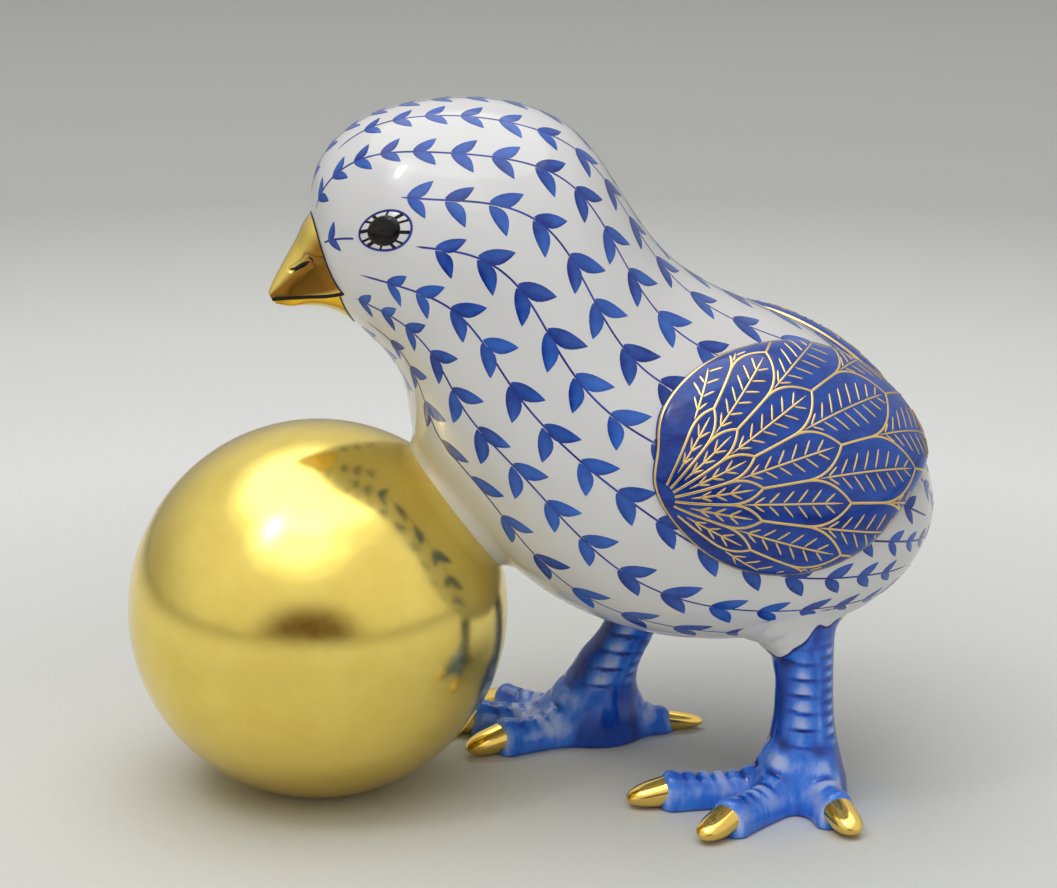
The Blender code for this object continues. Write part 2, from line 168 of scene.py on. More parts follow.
def ring_spline(values):
    """Control values of the closed cubic B-spline that passes through these values in turn."""
    count = len(values)
    matrix = np.zeros((count, count))
    for i in range(count):
        matrix[i, i] = 4 / 6
        matrix[i, i - 1] = 1 / 6
        matrix[i, (i + 1) % count] = 1 / 6
    return np.linalg.solve(matrix, np.array(values, float))


def spline_at(control, u):
    """The spline's values at an array of places, where whole numbers are the values it passes through."""
    u = np.asarray(u, float)
    base = np.floor(u).astype(int)
    f = u - base
    weights = (
        (1 - f) ** 3 / 6, (3 * f**3 - 6 * f**2 + 4) / 6, (-3 * f**3 + 3 * f**2 + 3 * f + 1) / 6, f**3 / 6,
    )
    total = 0
    for k, w in enumerate(weights):
        value = control[(base - 1 + k) % len(control)]
        total = total + (w[..., None] * value if value.ndim > w.ndim else w * value)
    return total


backs = [row[0:2] for row in BODY_ROWS]
bellies = [row[2:4] for row in BODY_ROWS]
widths = [row[4] for row in BODY_ROWS]
OUTLINE = ring_spline([FACE_POLE, *backs, RUMP_POLE, *bellies[::-1]])
WIDTH = ring_spline([0, *widths, 0, *(-w for w in widths[::-1])])
WING_RING = ring_spline(WING_OUTLINE)


def clamp(values):
    return np.clip(values, 0, 1)


def unit(v):
    return v / np.maximum(np.linalg.norm(v, axis=-1, keepdims=True), 1e-12)


def skin(t, a):
    """Points of the body's skin in section t at angle a, from the back towards the left side."""
    t, a = np.broadcast_arrays(np.asarray(t, float), np.asarray(a, float))
    top = spline_at(OUTLINE, t)
    bottom = spline_at(OUTLINE, -t)
    rise = (top - bottom) / 2 * np.cos(a)[..., None]
    flat = (top + bottom) / 2 + rise
    y = -spline_at(WIDTH, t) * np.sin(a) * (1 - BELLY_FULLNESS * np.cos(a))
    return np.stack((flat[..., 0], y, flat[..., 1]), -1)


def normals_of(surface, t, a, step=0.004):
    """The way out of a surface that is given as a function of two coordinates like the skin's."""
    along = surface(t + step, a) - surface(t - step, a)
    down = surface(t, a + step) - surface(t, a - step)
    return unit(np.cross(down, along))


def skin_out(t, a):
    return normals_of(skin, t, a)


def mirrored(points, side):
    """The left side's points or directions for side -1, and their mirror image for side 1."""
    return points * np.array((1, -side, 1))


class Patch:
    """Flat coordinates in millimetres around one place of the skin, with the first axis along a heading."""

    def __init__(self, t, a, heading):
        step = 0.01
        along = (skin(t + step, a) - skin(t - step, a)) / (2 * step)
        down = (skin(t, a + step) - skin(t, a - step)) / (2 * step)
        first = unit(along)
        second = np.cross(first, unit(np.cross(down, along)))
        c, s = math.cos(heading), math.sin(heading)
        self.axes = (first * c + second * s, second * c - first * s)
        self.inverse = np.linalg.inv(np.array([(along @ axis, down @ axis) for axis in self.axes]))
        self.place = (t, a)

    def at(self, u, v):
        """Body coordinates of flat coordinates."""
        m = self.inverse
        return self.place[0] + m[0, 0] * u + m[0, 1] * v, self.place[1] + m[1, 0] * u + m[1, 1] * v


def runs_of(keep, shortest):
    """The runs of neighbouring places that are kept and are at least this many."""
    runs = np.split(np.arange(len(keep)), np.flatnonzero(np.diff(keep.astype(int))) + 1)
    return [run for run in runs if len(run) >= shortest and keep[run[0]]]


class Sheet:
    """Points, faces, normals and paint tones gathered for one piece of the scene."""

    def __init__(self):
        self.points = []
        self.faces = []
        self.normals = []
        self.tones = []
        self.count = 0

    def add(self, points, faces, normals=None, tones=None):
        points = np.reshape(points, (-1, 3))
        self.points.append(points)
        self.faces.append(np.asarray(faces) + self.count)
        self.normals.append(np.zeros_like(points) if normals is None else np.reshape(normals, (-1, 3)))
        self.tones.append(np.zeros(len(points)) if tones is None else np.ravel(tones))
        self.count += len(points)

    def grid(self, points, normals=None, tones=None, wrap=False, first=None, last=None):
        """A grid of rows and columns of points; with wrap, the last column joins the first.

        The first and the last row may each close in a fan on a point of its own.
        """
        rows, columns = points.shape[:2]
        index = np.arange(rows * columns).reshape(rows, columns)
        right = np.roll(index, -1, 1)
        if not wrap:
            index, right = index[:, :-1], right[:, :-1]
        quads = np.stack((index[:-1], right[:-1], right[1:], index[1:]), -1).reshape(-1, 4)
        if normals is not None:
            flat = np.reshape(points, (-1, 3))
            ways = np.cross(flat[quads[:, 1]] - flat[quads[:, 0]], flat[quads[:, 3]] - flat[quads[:, 0]])
            if (ways * np.reshape(normals, (-1, 3))[quads[:, 0]]).sum() < 0:
                quads = quads[:, ::-1]
        start = self.count
        self.add(points, quads, normals, tones)
        for pole, row in ((first, 0), (last, rows - 1)):
            if pole is None:
                continue
            around = start - self.count + row * columns + np.arange(columns)
            pairs = (around, np.roll(around, -1)) if row else (np.roll(around, -1), around)
            tone = None if tones is None else [np.reshape(tones, (rows, columns))[row].mean()]
            self.add(pole, np.stack((*pairs, np.zeros(columns, int)), -1), None, tone)

    def piece(self, name, material, own_normals=False):
        points = np.concatenate(self.points)
        faces = [tuple(face) for block in self.faces for face in block.tolist()]
        return new_piece(name, points, faces, material, np.concatenate(self.tones),
                         np.concatenate(self.normals) if own_normals else None)


def volume(points, faces):
    """Signed volume inside the faces, which is negative where they face inwards."""
    total = 0.0
    middle = points.mean(0)
    for size in (3, 4):
        block = np.array([f for f in faces if len(f) == size], int).reshape(-1, size)
        corners = points[block] - middle
        for k in range(1, size - 1):
            total += (np.cross(corners[:, k], corners[:, k + 1]) * corners[:, 0]).sum()
    return total


def new_piece(name, points, faces, material, tones, normals=None):
    """A smooth-shaded piece that rides on the figurine, from points in millimetres."""
    if normals is None and volume(points, faces) < 0:
        faces = [face[::-1] for face in faces]
    mesh = bpy.data.meshes.new(name)
    mesh.from_pydata(((points * MM - ORIGIN) * FIT).tolist(), [], faces)
    mesh.materials.append(material)
    mesh.polygons.foreach_set("use_smooth", [True] * len(mesh.polygons))
    tone = mesh.attributes.new("tone", "FLOAT", "POINT")
    tone.data.foreach_set("value", np.asarray(tones, np.float32))
    mesh.update()
    if normals is not None:
        mesh.normals_split_custom_set_from_vertices(normals.tolist())
    made = bpy.data.objects.new(name, mesh)
    bpy.context.scene.collection.objects.link(made)
    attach(made, "root")
    return made


def ribbon(sheet, points, normals, width, lift, crown=0.0, tones=None, taper=0.0):
    """A thin band laid along a line of surface points, with its edges sunk into the surface."""
    count = len(points)
    tangent = unit(np.gradient(points, axis=0))
    side = unit(np.cross(normals, tangent))
    half = np.full(count, width / 2)
    if taper:
        ends = np.minimum(np.arange(count), np.arange(count)[::-1]) / max(count - 1, 1) * 2
        half = half * np.clip(ends / taper, 0.12, 1) ** 0.6
    profile = ((-1, -0.03), (-0.78, lift), (0, lift + crown), (0.78, lift), (1, -0.03))
    rows = [points + side * (half * q)[:, None] + normals * h for q, h in profile]
    tone = None if tones is None else np.repeat(tones[:, None], len(profile), 1)
    bend = (-0.8, -0.35, 0, 0.35, 0.8)
    turned = [unit(normals + side * b * (1 if crown else 0)) for b in bend]
    sheet.grid(np.stack(rows, 1), np.stack(turned, 1), tone)


# Materials


def new_material(name, colour, roughness, metallic=0.0):
    material = bpy.data.materials.new(name)
    material.use_nodes = True
    shader = material.node_tree.nodes["Principled BSDF"]
    shader.inputs["Base Color"].default_value = (*colour, 1)
    shader.inputs["Roughness"].default_value = roughness
    shader.inputs["Metallic"].default_value = metallic
    return material, material.node_tree, shader


def node(tree, kind, **values):
    made = tree.nodes.new(kind)
    for key, value in values.items():
        setattr(made, key, value)
    return made


def noise(tree, scale, detail=3.0, rough=0.5, stretch=None):
    """Noise on object coordinates, with the scale in features per metre."""
    place = node(tree, "ShaderNodeTexCoord").outputs["Object"]
    if stretch:
        mapping = node(tree, "ShaderNodeMapping")
        mapping.inputs["Scale"].default_value = stretch
        tree.links.new(place, mapping.inputs["Vector"])
        place = mapping.outputs["Vector"]
    made = node(tree, "ShaderNodeTexNoise")
    made.inputs["Scale"].default_value = scale
    made.inputs["Detail"].default_value = detail
    made.inputs["Roughness"].default_value = rough
    tree.links.new(place, made.inputs["Vector"])
    return made.outputs["Fac"]


def ramp(tree, source, stops):
    """A colour ramp over a value, from (place, colour) stops."""
    made = node(tree, "ShaderNodeValToRGB")
    points = made.color_ramp.elements
    while len(points) < len(stops):
        points.new(1.0)
    for point, (place, colour) in zip(points, stops):
        point.position = place
        point.color = (*colour, 1)
    tree.links.new(source, made.inputs["Fac"])
    return made.outputs["Color"]


def math_node(tree, operation, *values):
    made = node(tree, "ShaderNodeMath", operation=operation)
    for socket, value in zip(made.inputs, values):
        if isinstance(value, (int, float)):
            socket.default_value = value
        else:
            tree.links.new(value, socket)
    return made.outputs["Value"]


def map_range(tree, source, low, high, to_low, to_high):
    made = node(tree, "ShaderNodeMapRange")
    for name, value in (("From Min", low), ("From Max", high), ("To Min", to_low), ("To Max", to_high)):
        made.inputs[name].default_value = value
    tree.links.new(source, made.inputs["Value"])
    return made.outputs["Result"]


def mix_colour(tree, share, one, other, blend="MIX"):
    made = node(tree, "ShaderNodeMix", data_type="RGBA", blend_type=blend)
    inputs = [s for s in made.inputs if s.enabled]
    for socket, value in zip(inputs, (share, one, other)):
        if isinstance(value, (int, float)):
            socket.default_value = value
        elif isinstance(value, tuple):
            socket.default_value = (*value, 1)
        else:
            tree.links.new(value, socket)
    return next(s for s in made.outputs if s.enabled)


def vector_math(tree, operation, source, other=(0, 0, 0)):
    made = node(tree, "ShaderNodeVectorMath", operation=operation)
    tree.links.new(source, made.inputs[0])
    made.inputs[1].default_value = other
    return made.outputs["Value" if operation == "LENGTH" else "Vector"]


def coat(tree, shader, colour, grain, smooth, rough, waves, depth):
    """Gives a shader its colour, uneven roughness from one noise, and ripples, in metres, from another."""
    tree.links.new(colour, shader.inputs["Base Color"])
    uneven = map_range(tree, noise(tree, *grain), 0.3, 0.7, smooth, rough)
    tree.links.new(uneven, shader.inputs["Roughness"])
    ripples = node(tree, "ShaderNodeBump")
    ripples.inputs["Distance"].default_value = depth
    tree.links.new(noise(tree, *waves), ripples.inputs["Height"])
    tree.links.new(ripples.outputs["Normal"], shader.inputs["Normal"])


def tone_of(tree):
    return node(tree, "ShaderNodeAttribute", attribute_name="tone").outputs["Fac"]


def porcelain():
    material, tree, shader = new_material("white_glaze", (0.74, 0.735, 0.72), 0.1)
    colour = ramp(tree, noise(tree, 70, 2), ((0.3, (0.71, 0.705, 0.69)), (0.7, (0.76, 0.757, 0.748))))
    coat(tree, shader, colour, (300, 2), 0.07, 0.12, (160, 2), 0.00006)
    return material


def brushed(tree, scale, detail, rough, streaks, depth):
    """The tone, broken up by brush streaks."""
    wash = noise(tree, scale, detail, rough, streaks)
    return math_node(tree, "ADD", tone_of(tree), map_range(tree, wash, 0.25, 0.75, -depth, depth))


def cobalt(name, dark, light, streaks, scale=260):
    """Cobalt painting under the glaze, which is lighter where the tone is high."""
    material, tree, shader = new_material(name, light, 0.1)
    shader.inputs["Specular IOR Level"].default_value = 0.38
    between = tuple((d + l) / 2 for d, l in zip(dark, light))
    shade = brushed(tree, scale, 5, 0.65, streaks, 0.32)
    colour = ramp(tree, shade, ((0.0, dark), (0.45, between), (1.0, light)))
    coat(tree, shader, colour, (300, 2), 0.07, 0.13, (160, 2), 0.00006)
    return material


def leg_glaze():
    """Cobalt below the painted border of the leg and white above it, where the tone is negative."""
    material, tree, shader = new_material("leg_glaze", (0.03, 0.1, 0.45), 0.1)
    blue = ramp(tree, brushed(tree, 420, 5, 0.7, (1, 1, 0.35), 0.22), (
        (0.0, (0.002, 0.016, 0.20)), (0.35, (0.010, 0.09, 0.56)),
        (0.68, (0.055, 0.24, 0.88)), (1.0, (0.46, 0.56, 0.93)),
    ))
    uneven = map_range(tree, noise(tree, 700, 2), 0.3, 0.7, -0.15, 0.15)
    edge = math_node(tree, "ADD", tone_of(tree), uneven)
    white = map_range(tree, edge, -1.05, -0.95, 1.0, 0.0)
    colour = mix_colour(tree, white, blue, (0.735, 0.73, 0.72))
    coat(tree, shader, colour, (300, 2), 0.07, 0.13, (240, 2), 0.00007)
    return material


def gilding(name, colour, roughness, ripple, reflection_shade=None):
    """Gold, a little uneven; with a second colour, it deepens to that where the tone is low, which paints a
    darker reflection into the gold.
    """
    material, tree, shader = new_material(name, colour, roughness, 1.0)
    worn = tuple(c * s for c, s in zip(colour, (0.93, 0.9, 0.8)))
    gold = ramp(tree, noise(tree, 180, 6, 0.6), ((0.35, worn), (0.65, colour)))
    if reflection_shade:
        gold = mix_colour(tree, tone_of(tree), reflection_shade, gold)
    coat(tree, shader, gold, (500, 6, 0.7), roughness * 0.8, roughness * 1.25, (90, 3), ripple)
    return material


def enamel():
    material, tree, shader = new_material("black_enamel", (0.012, 0.008, 0.006), 0.08)
    shader.inputs["Specular IOR Level"].default_value = 0.25
    colour = ramp(tree, noise(tree, 900, 3), ((0.5, (0.004, 0.004, 0.004)), (0.8, (0.035, 0.014, 0.007))))
    coat(tree, shader, colour, (400, 2), 0.06, 0.12, (300, 2), 0.00004)
    return material


WHITE = porcelain()
LEAF_BLUE = cobalt("cobalt_leaves", (0.002, 0.022, 0.23), (0.045, 0.18, 0.68), (1, 1, 1))
STEM_BLUE = cobalt("cobalt_stems", (0.015, 0.02, 0.22), (0.05, 0.07, 0.42), (1, 1, 1))
WING_BLUE = cobalt("cobalt_wings", (0.001, 0.012, 0.18), (0.015, 0.125, 0.62), (0.5, 1, 1.4), 420)
LEG_GLAZE = leg_glaze()
BALL_GOLD = gilding("ball_gilding", (0.90, 0.71, 0.18), 0.18, 0.00005)
# The beak's gold turns dark brown on the sides of the upper jaw: painted shade, a darker reflection painted
# into the gold.
BEAK_GOLD = gilding("beak_gilding", (0.93, 0.70, 0.17), 0.12, 0.00012, (0.25, 0.105, 0.012))
CLAW_GOLD = gilding("claw_gilding", (0.88, 0.62, 0.16), 0.14, 0.00016)
LINE_GOLD = gilding("gold_lines", (0.80, 0.57, 0.21), 0.24, 0.00005)
BLACK = enamel()


# Body


def build_body():
    ring = np.concatenate(([0.03, 0.08, 0.16, 0.25], np.arange(0.35, LAST - 0.34, 0.07),
                           [LAST - 0.3, LAST - 0.2, LAST - 0.1, LAST - 0.03]))
    angles = np.linspace(0, 2 * math.pi, 200, endpoint=False)
    t, a = np.meshgrid(ring, angles, indexing="ij")
    sheet = Sheet()
    sheet.grid(skin(t, a), skin_out(t, a), wrap=True, first=skin(0.0, 0.0), last=skin(float(LAST), 0.0))
    return sheet, (t, a)


body_sheet, body_grid = build_body()
body = body_sheet.piece("body_glaze", WHITE)
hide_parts("chick_and_ball")
body_points = np.concatenate(body_sheet.points)
body_faces = [tuple(face) for block in body_sheet.faces for face in block.tolist()]
body_tree = BVHTree.FromPolygons(body_points.tolist(), body_faces)


def body_distance(points):
    """Signed distance in millimetres of points from the body's skin, negative inside."""
    found = np.empty(len(points))
    for i, p in enumerate(points.tolist()):
        place, normal, _, distance = body_tree.find_nearest(p)
        outside = (Vector(p) - place).dot(normal) > 0
        found[i] = distance if outside else -distance
    return found


ring_t, ring_a = body_grid
face_t = (ring_t[:-1] + ring_t[1:]) / 2
face_a = ring_a[:-1] + math.pi / ring_a.shape[1]
FACE_PLACES = np.stack((face_t.ravel(), face_a.ravel()), 1)


def nearest_skin(points):
    """Body coordinates of the smooth skin's nearest place to each point, away from its two poles."""
    faces = np.array([body_tree.find_nearest(p)[2] for p in points.tolist()])
    t, a = FACE_PLACES[np.minimum(faces, len(FACE_PLACES) - 1)].T
    step = 0.01
    for _ in range(3):
        here = skin(t, a)
        along = (skin(t + step, a) - here) / step
        down = (skin(t, a + step) - here) / step
        gap = points - here
        aa, ad, dd = (along * along).sum(-1), (along * down).sum(-1), (down * down).sum(-1)
        ga, gd = (gap * along).sum(-1), (gap * down).sum(-1)
        scale = np.maximum(aa * dd - ad * ad, 1e-6)
        t = np.clip(t + (ga * dd - gd * ad) / scale, 0.5, LAST - 0.5)
        a = a + (gd * aa - ga * ad) / scale
    return t, a


def skin_distance(points):
    """Signed distance in millimetres from the smooth skin, for points that lie near it."""
    t, a = nearest_skin(points)
    return ((points - skin(t, a)) * skin_out(t, a)).sum(-1)


# Smooth joins between forms, as the zero surface of a field


def smooth_min(a, b, reach):
    h = np.maximum(reach - np.abs(a - b), 0) / reach
    return np.minimum(a, b) - h * h * reach / 4


def smooth_max(a, b, reach):
    return -smooth_min(-a, -b, reach)


def zero_surface(rough_field, field, low, high, step):
    """Points, four-sided faces and normals of the surface where a field of points is zero.

    A rough field finds it on a grid, and the field itself then draws the points onto it.
    """
    axes = [np.arange(l, h + step, step) for l, h in zip(low, high)]
    grid = np.stack(np.meshgrid(*axes, indexing="ij"), -1)
    values = rough_field(grid.reshape(-1, 3)).reshape(grid.shape[:3])
    inside = values < 0
    shape = tuple(n - 1 for n in values.shape)
    corners = [(i, j, k) for i in (0, 1) for j in (0, 1) for k in (0, 1)]

    def corner(array, c):
        return array[c[0]:c[0] + shape[0], c[1]:c[1] + shape[1], c[2]:c[2] + shape[2]]

    held = sum(corner(inside, c).astype(int) for c in corners)
    active = np.argwhere((held > 0) & (held < 8))
    index = np.full(shape, -1)
    index[tuple(active.T)] = np.arange(len(active))
    total = np.zeros((len(active), 3))
    crossings = np.zeros(len(active))
    for c in corners:
        for axis in range(3):
            if c[axis]:
                continue
            d = tuple(v + (n == axis) for n, v in enumerate(c))
            v0 = corner(values, c)[tuple(active.T)]
            v1 = corner(values, d)[tuple(active.T)]
            cut = (v0 < 0) != (v1 < 0)
            share = np.where(cut, v0 / np.where(cut, v0 - v1, 1), 0)
            place = np.array(c) + share[:, None] * (np.array(d) - np.array(c))
            total += np.where(cut[:, None], place, 0)
            crossings += cut
    points = np.array(low) + (active + total / crossings[:, None]) * step
    faces = []
    for axis in range(3):
        b, c = (axis + 1) % 3, (axis + 2) % 3
        near = [slice(None)] * 3
        far = [slice(None)] * 3
        near[axis] = slice(0, -1)
        far[axis] = slice(1, None)
        change = inside[tuple(near)] != inside[tuple(far)]
        for cell in np.argwhere(change):
            if cell[b] == 0 or cell[c] == 0 or cell[b] >= shape[b] or cell[c] >= shape[c]:
                continue
            quad = []
            for db, dc in ((1, 1), (0, 1), (0, 0), (1, 0)):
                place = list(cell)
                place[b] -= db
                place[c] -= dc
                quad.append(int(index[tuple(place)]))
            faces.append(quad if inside[tuple(cell)] else quad[::-1])
    nudge = 0.02
    for _ in range(2):
        value = field(points)
        slopes = [(field(points + e) - field(points - e)) / (2 * nudge) for e in np.eye(3) * nudge]
        slope = np.stack(slopes, -1)
        points = points - value[:, None] * slope / np.maximum((slope**2).sum(-1), 0.05)[:, None]
    return points, faces, unit(slope)


# How deep a blended surface sinks into the body as it runs out, and how far from the body that begins
SINK = 0.035
SINK_REACH = 0.3


def shading(points, faces, normals, near):
    """Normals of the faces around each point, which turn into the given ones as the surface runs out."""
    corners = np.array(faces)
    a, b, c, d = (points[corners[:, k]] for k in range(4))
    ways = np.cross(c - a, d - b)
    total = np.zeros_like(points)
    for k in range(4):
        np.add.at(total, corners[:, k], ways)
    if (total * normals).sum() < 0:
        faces = [f[::-1] for f in faces]
        total = -total
    own = unit(total)
    return unit(own + (normals - own) * near[:, None]), faces


def compact(points, faces, *extra):
    """Drops the points that no face uses."""
    used = np.unique(np.array(faces).ravel())
    renumber = np.full(len(points), -1)
    renumber[used] = np.arange(len(used))
    return (points[used], [tuple(renumber[list(f)].tolist()) for f in faces], *(e[used] for e in extra))


def blended_piece(name, points, faces, normals, distance, material, relief, tones):
    """A piece that runs out into the body, without the part of it that lies below the skin.

    Its points come with their distance from the body, their relief in millimetres and their paint tones.
    """
    faces = [f for f in faces if any(distance[v] > SINK * 0.6 for v in f)]
    near = clamp(1 - distance / SINK_REACH)
    points = points - normals * (SINK * near)[:, None] + normals * relief[:, None]
    points[:, 2] = np.maximum(points[:, 2], 0.0)
    points, faces, tones, normals, near = compact(points, faces, tones, normals, near)
    shaded, faces = shading(points, faces, normals, near)
    new_piece(name, points, faces, material, tones, shaded)


# Legs and feet


def toe_axes(heading):
    a = math.radians(heading)
    along = np.array((-math.cos(a), -math.sin(a), 0))
    return along, np.array((-along[1], along[0], 0))


# Below this height the legs are clear of the belly
BELLY_LEVEL = 14


class Foot:
    """One foot with its shank, as a field around it, in millimetres."""

    def __init__(self, side):
        self.foot, self.toes = FEET[side]
        self.rows = np.array(LEGS[side])
        self.base = np.array((*self.foot, 0))

    def shank(self, p):
        z = np.clip(p[:, 2], self.rows[0, 0], self.rows[-1, 0])
        x, y, length, width = (smooth_rows(self.rows[:, 0], self.rows[:, k], z) for k in (1, 2, 3, 4))
        dx = (p[:, 0] - self.foot[0] - x) / length
        dy = (p[:, 1] - self.foot[1] - y) / width
        return (np.sqrt(dx * dx + dy * dy) - 1) * np.minimum(length, width)

    def toe_place(self, p, heading):
        """How far points are along a toe and to the side of its middle line."""
        return tuple((p - self.base) @ axis for axis in toe_axes(heading))

    def toe(self, p, heading, reach):
        s, c = self.toe_place(p, heading)
        length = reach - CLAW_LENGTH
        share = clamp(s / length)
        rise = TOE_ROOT_RISE * np.exp(-((np.maximum(s, 0) / TOE_ROOT_LENGTH) ** 2))
        dip = np.sin(math.pi * share)
        lip = 1 + 0.05 * bell(s - length + 0.9, 1.0)
        slim = 1 - REAR_THINNING * share if heading > REAR_HEADING else 1
        height = TOE_HEIGHT * (0.98 - 0.13 * dip) * lip * slim + rise
        width = TOE_HALF_WIDTH * (1.03 - 0.12 * dip) * (1 + 0.10 * (1 - share)) * lip * slim
        m = (np.abs(c / width) ** 2.15 + np.abs(p[:, 2] / height) ** 2.15) ** (1 / 2.15)
        body = (m - 1) * width
        return smooth_max(smooth_max(body, s - length - 0.3, 1.7), -s - 1.0, 1.0)

    def field(self, p, hull):
        total = self.shank(p)
        for heading, reach in self.toes:
            total = smooth_min(total, self.toe(p, heading, reach), TOE_BLEND)
        return smooth_max(smooth_min(total, hull, BELLY_BLEND), -p[:, 2], 0.5)


def above_feet(p, distance):
    """The body's distance from points, worked out only where they are near it."""
    found = np.full(len(p), 9.0)
    near = p[:, 2] > BELLY_LEVEL
    found[near] = distance(p[near])
    return found


def smooth_rows(places, values, z):
    """Values between rows, on smooth curves through them."""
    slopes = np.gradient(values, places)
    k = np.clip(np.searchsorted(places, z, side="right") - 1, 0, len(places) - 2)
    gap = places[k + 1] - places[k]
    f = (z - places[k]) / gap
    return ((2 * f**3 - 3 * f**2 + 1) * values[k] + (f**3 - 2 * f**2 + f) * gap * slopes[k]
            + (3 * f**2 - 2 * f**3) * values[k + 1] + (f**3 - f**2) * gap * slopes[k + 1])


def coarse_hull(low, high, step, every):
    """The body's distance on a coarse grid over a box, as a function that fills in between."""
    axes = [np.arange(l, h + step * (every + 1), step * every) for l, h in zip(low, high)]
    grid = np.stack(np.meshgrid(*axes, indexing="ij"), -1)
    values = body_distance(grid.reshape(-1, 3)).reshape(grid.shape[:3])

    def at(p):
        q = (p - np.array(low)) / (step * every)
        i = np.clip(np.floor(q).astype(int), 0, np.array(values.shape) - 2)
        f = q - i
        total = 0
        for c in ((a, b, d) for a in (0, 1) for b in (0, 1) for d in (0, 1)):
            w = np.prod(np.where(np.array(c), f, 1 - f), axis=1)
            total = total + w * values[tuple((i + np.array(c)).T)]
        return total

    return at


def bell(x, width):
    return np.exp(-((x / width) ** 2))


def build_leg(side):
    foot = Foot(side)
    reach = max(r for _, r in foot.toes)
    low = (foot.foot[0] - reach - 2, foot.foot[1] - 17, -0.4)
    high = (foot.foot[0] + 17, foot.foot[1] + 17, 25.0)
    step = 0.3
    hull = coarse_hull((low[0], low[1], BELLY_LEVEL - 1), high, step, 4)
    points, faces, normals = zero_surface(
        lambda p: foot.field(p, above_feet(p, hull)),
        lambda p: foot.field(p, above_feet(p, skin_distance)), low, high, step)
    relief, tones = leg_marks(foot, points)
    distance = above_feet(points, skin_distance)
    blended_piece(f"{side}_leg_glaze", points, faces, normals, distance, LEG_GLAZE, relief, tones)


def leg_marks(foot, p):
    """Relief in millimetres and paint tone of the scutes on the shank and the toes, with a painted highlight
    along the toes' sides.
    """
    z = p[:, 2]
    level = np.clip(z, 0, foot.rows[-1, 0])
    x, y = (smooth_rows(foot.rows[:, 0], foot.rows[:, k], level) for k in (1, 2))
    dx = p[:, 0] - foot.foot[0] - x
    dy = p[:, 1] - foot.foot[1] - y
    radius = np.hypot(dx, dy)
    turn = np.degrees(np.arctan2(np.abs(dy), -dx))
    shank = clamp((z - 6.0) / 2) * clamp((19.5 - z) / 1.5) * clamp((6 - radius) / 1.5)
    wide = bell(turn - 76, 25) * shank
    fine = bell(turn - 137, 15) * shank
    step = (z / 1.9 + 0.02 * turn / 10) % 1
    groove = bell(step - 0.93, 0.1) + bell(step + 0.07, 0.1)
    beads = bell((z / 1.3 + 0.3) % 1 - 0.5, 0.2)
    relief = wide * (0.08 - 0.2 * groove) + fine * (0.12 - 0.22 * beads)
    tone = 0.26 + wide * (0.88 - 0.5 * step - 0.95 * groove) + fine * (0.68 - 1.0 * beads)
    tone = tone - 0.22 * bell(turn - 25, 22) * shank + 0.3 * bell(turn - 110, 6) * shank

    for heading, reach in foot.toes:
        s, c = foot.toe_place(p, heading)
        length = reach - CLAW_LENGTH
        on = clamp((s - 3.0) / 1.5) * clamp((length + 0.6 - s) / 0.8)
        on = on * clamp((3.0 - np.abs(c)) / 0.6)
        crest = bell(c, 1.15) * clamp((z - 2.0) / 1.0)
        waves = bell(((s + 0.22 * c * c) / 1.6) % 1 - 0.5, 0.17)
        rear = clamp((length - 1.6 - s) / 1.5)
        relief = relief + on * rear * crest * (0.14 - 0.3 * waves)
        # The lighter band along the sides of each toe is a painted highlight; the streak and the crest's
        # crescents are brush marks.
        flank = bell(z - 2.1, 1.3) * clamp((np.abs(c) - 1.0) / 0.8)
        streak = bell(s - length * 0.62 + 0.5 * c, 1.6) * bell(z - 3.6, 1.4)
        painted = 0.46 + 0.28 * flank + 0.42 * streak + rear * crest * (0.22 - 0.85 * waves)
        tone = tone * (1 - on) + painted * on
        lip = bell(s - length + 0.2, 0.5) * clamp((3.2 - np.abs(c)) / 0.5)
        tone = tone + 0.22 * lip - 0.25 * bell(s - length - 0.55, 0.25) * (np.abs(c) < 2.6)
    tone = tone + 0.32 * bell(z - 5.4, 1.5) * bell(turn - 60, 50) * clamp((7.0 - radius) / 2)
    low, high = foot.rows[3], foot.rows[5]
    lean = low[1] + (z - low[0]) * (high[1] - low[1]) / (high[0] - low[0])
    forward = p[:, 0] - foot.foot[0] - lean
    rise = clamp((forward + 3.4) / 4.6)
    border = 17.2 + 3.5 * rise * rise * (3 - 2 * rise) + 0.22 * np.sin(forward * 2.4)
    above = (z - border) / 0.3
    return relief, np.where(above > -3, np.minimum(tone, 0.25 - above), tone)


def build_claws(side):
    """Blunt horns that fill the ends of the toes, lie along the floor and thin towards their round ends."""
    sheet = Sheet()
    foot, toes = FEET[side]
    turn = np.linspace(0, 2 * math.pi, 40, endpoint=False)[None, :, None]
    share = (1 - np.linspace(1, 0, 26) ** 1.7)[:-1, None, None]
    rounding = np.sqrt(1 - share**5)
    up = np.array((0, 0, 1))
    for heading, reach in toes:
        radius = CLAW_RADIUS * (1 - REAR_THINNING if heading > REAR_HEADING else 1)
        width = radius * (1 - CLAW_NARROWING * share) * rounding
        height = radius * (1 - CLAW_THINNING * share)
        along, across = toe_axes(heading)
        root = np.array((*foot, CLAW_FLOOR_GAP)) + along * (reach - CLAW_LENGTH - CLAW_ROOT)
        middle = root + along * (CLAW_LENGTH + CLAW_ROOT) * share + up * height
        rings = middle + across * width * np.cos(turn) + up * height * rounding * np.sin(turn)
        tip = root + along * (CLAW_LENGTH + CLAW_ROOT) + up * radius * (1 - CLAW_THINNING)
        sheet.grid(rings, wrap=True, last=tip)
    sheet.piece(f"{side}_claws", CLAW_GOLD)


for side in SIDES:
    build_leg(side)
    build_claws(side)


# Ball and pad


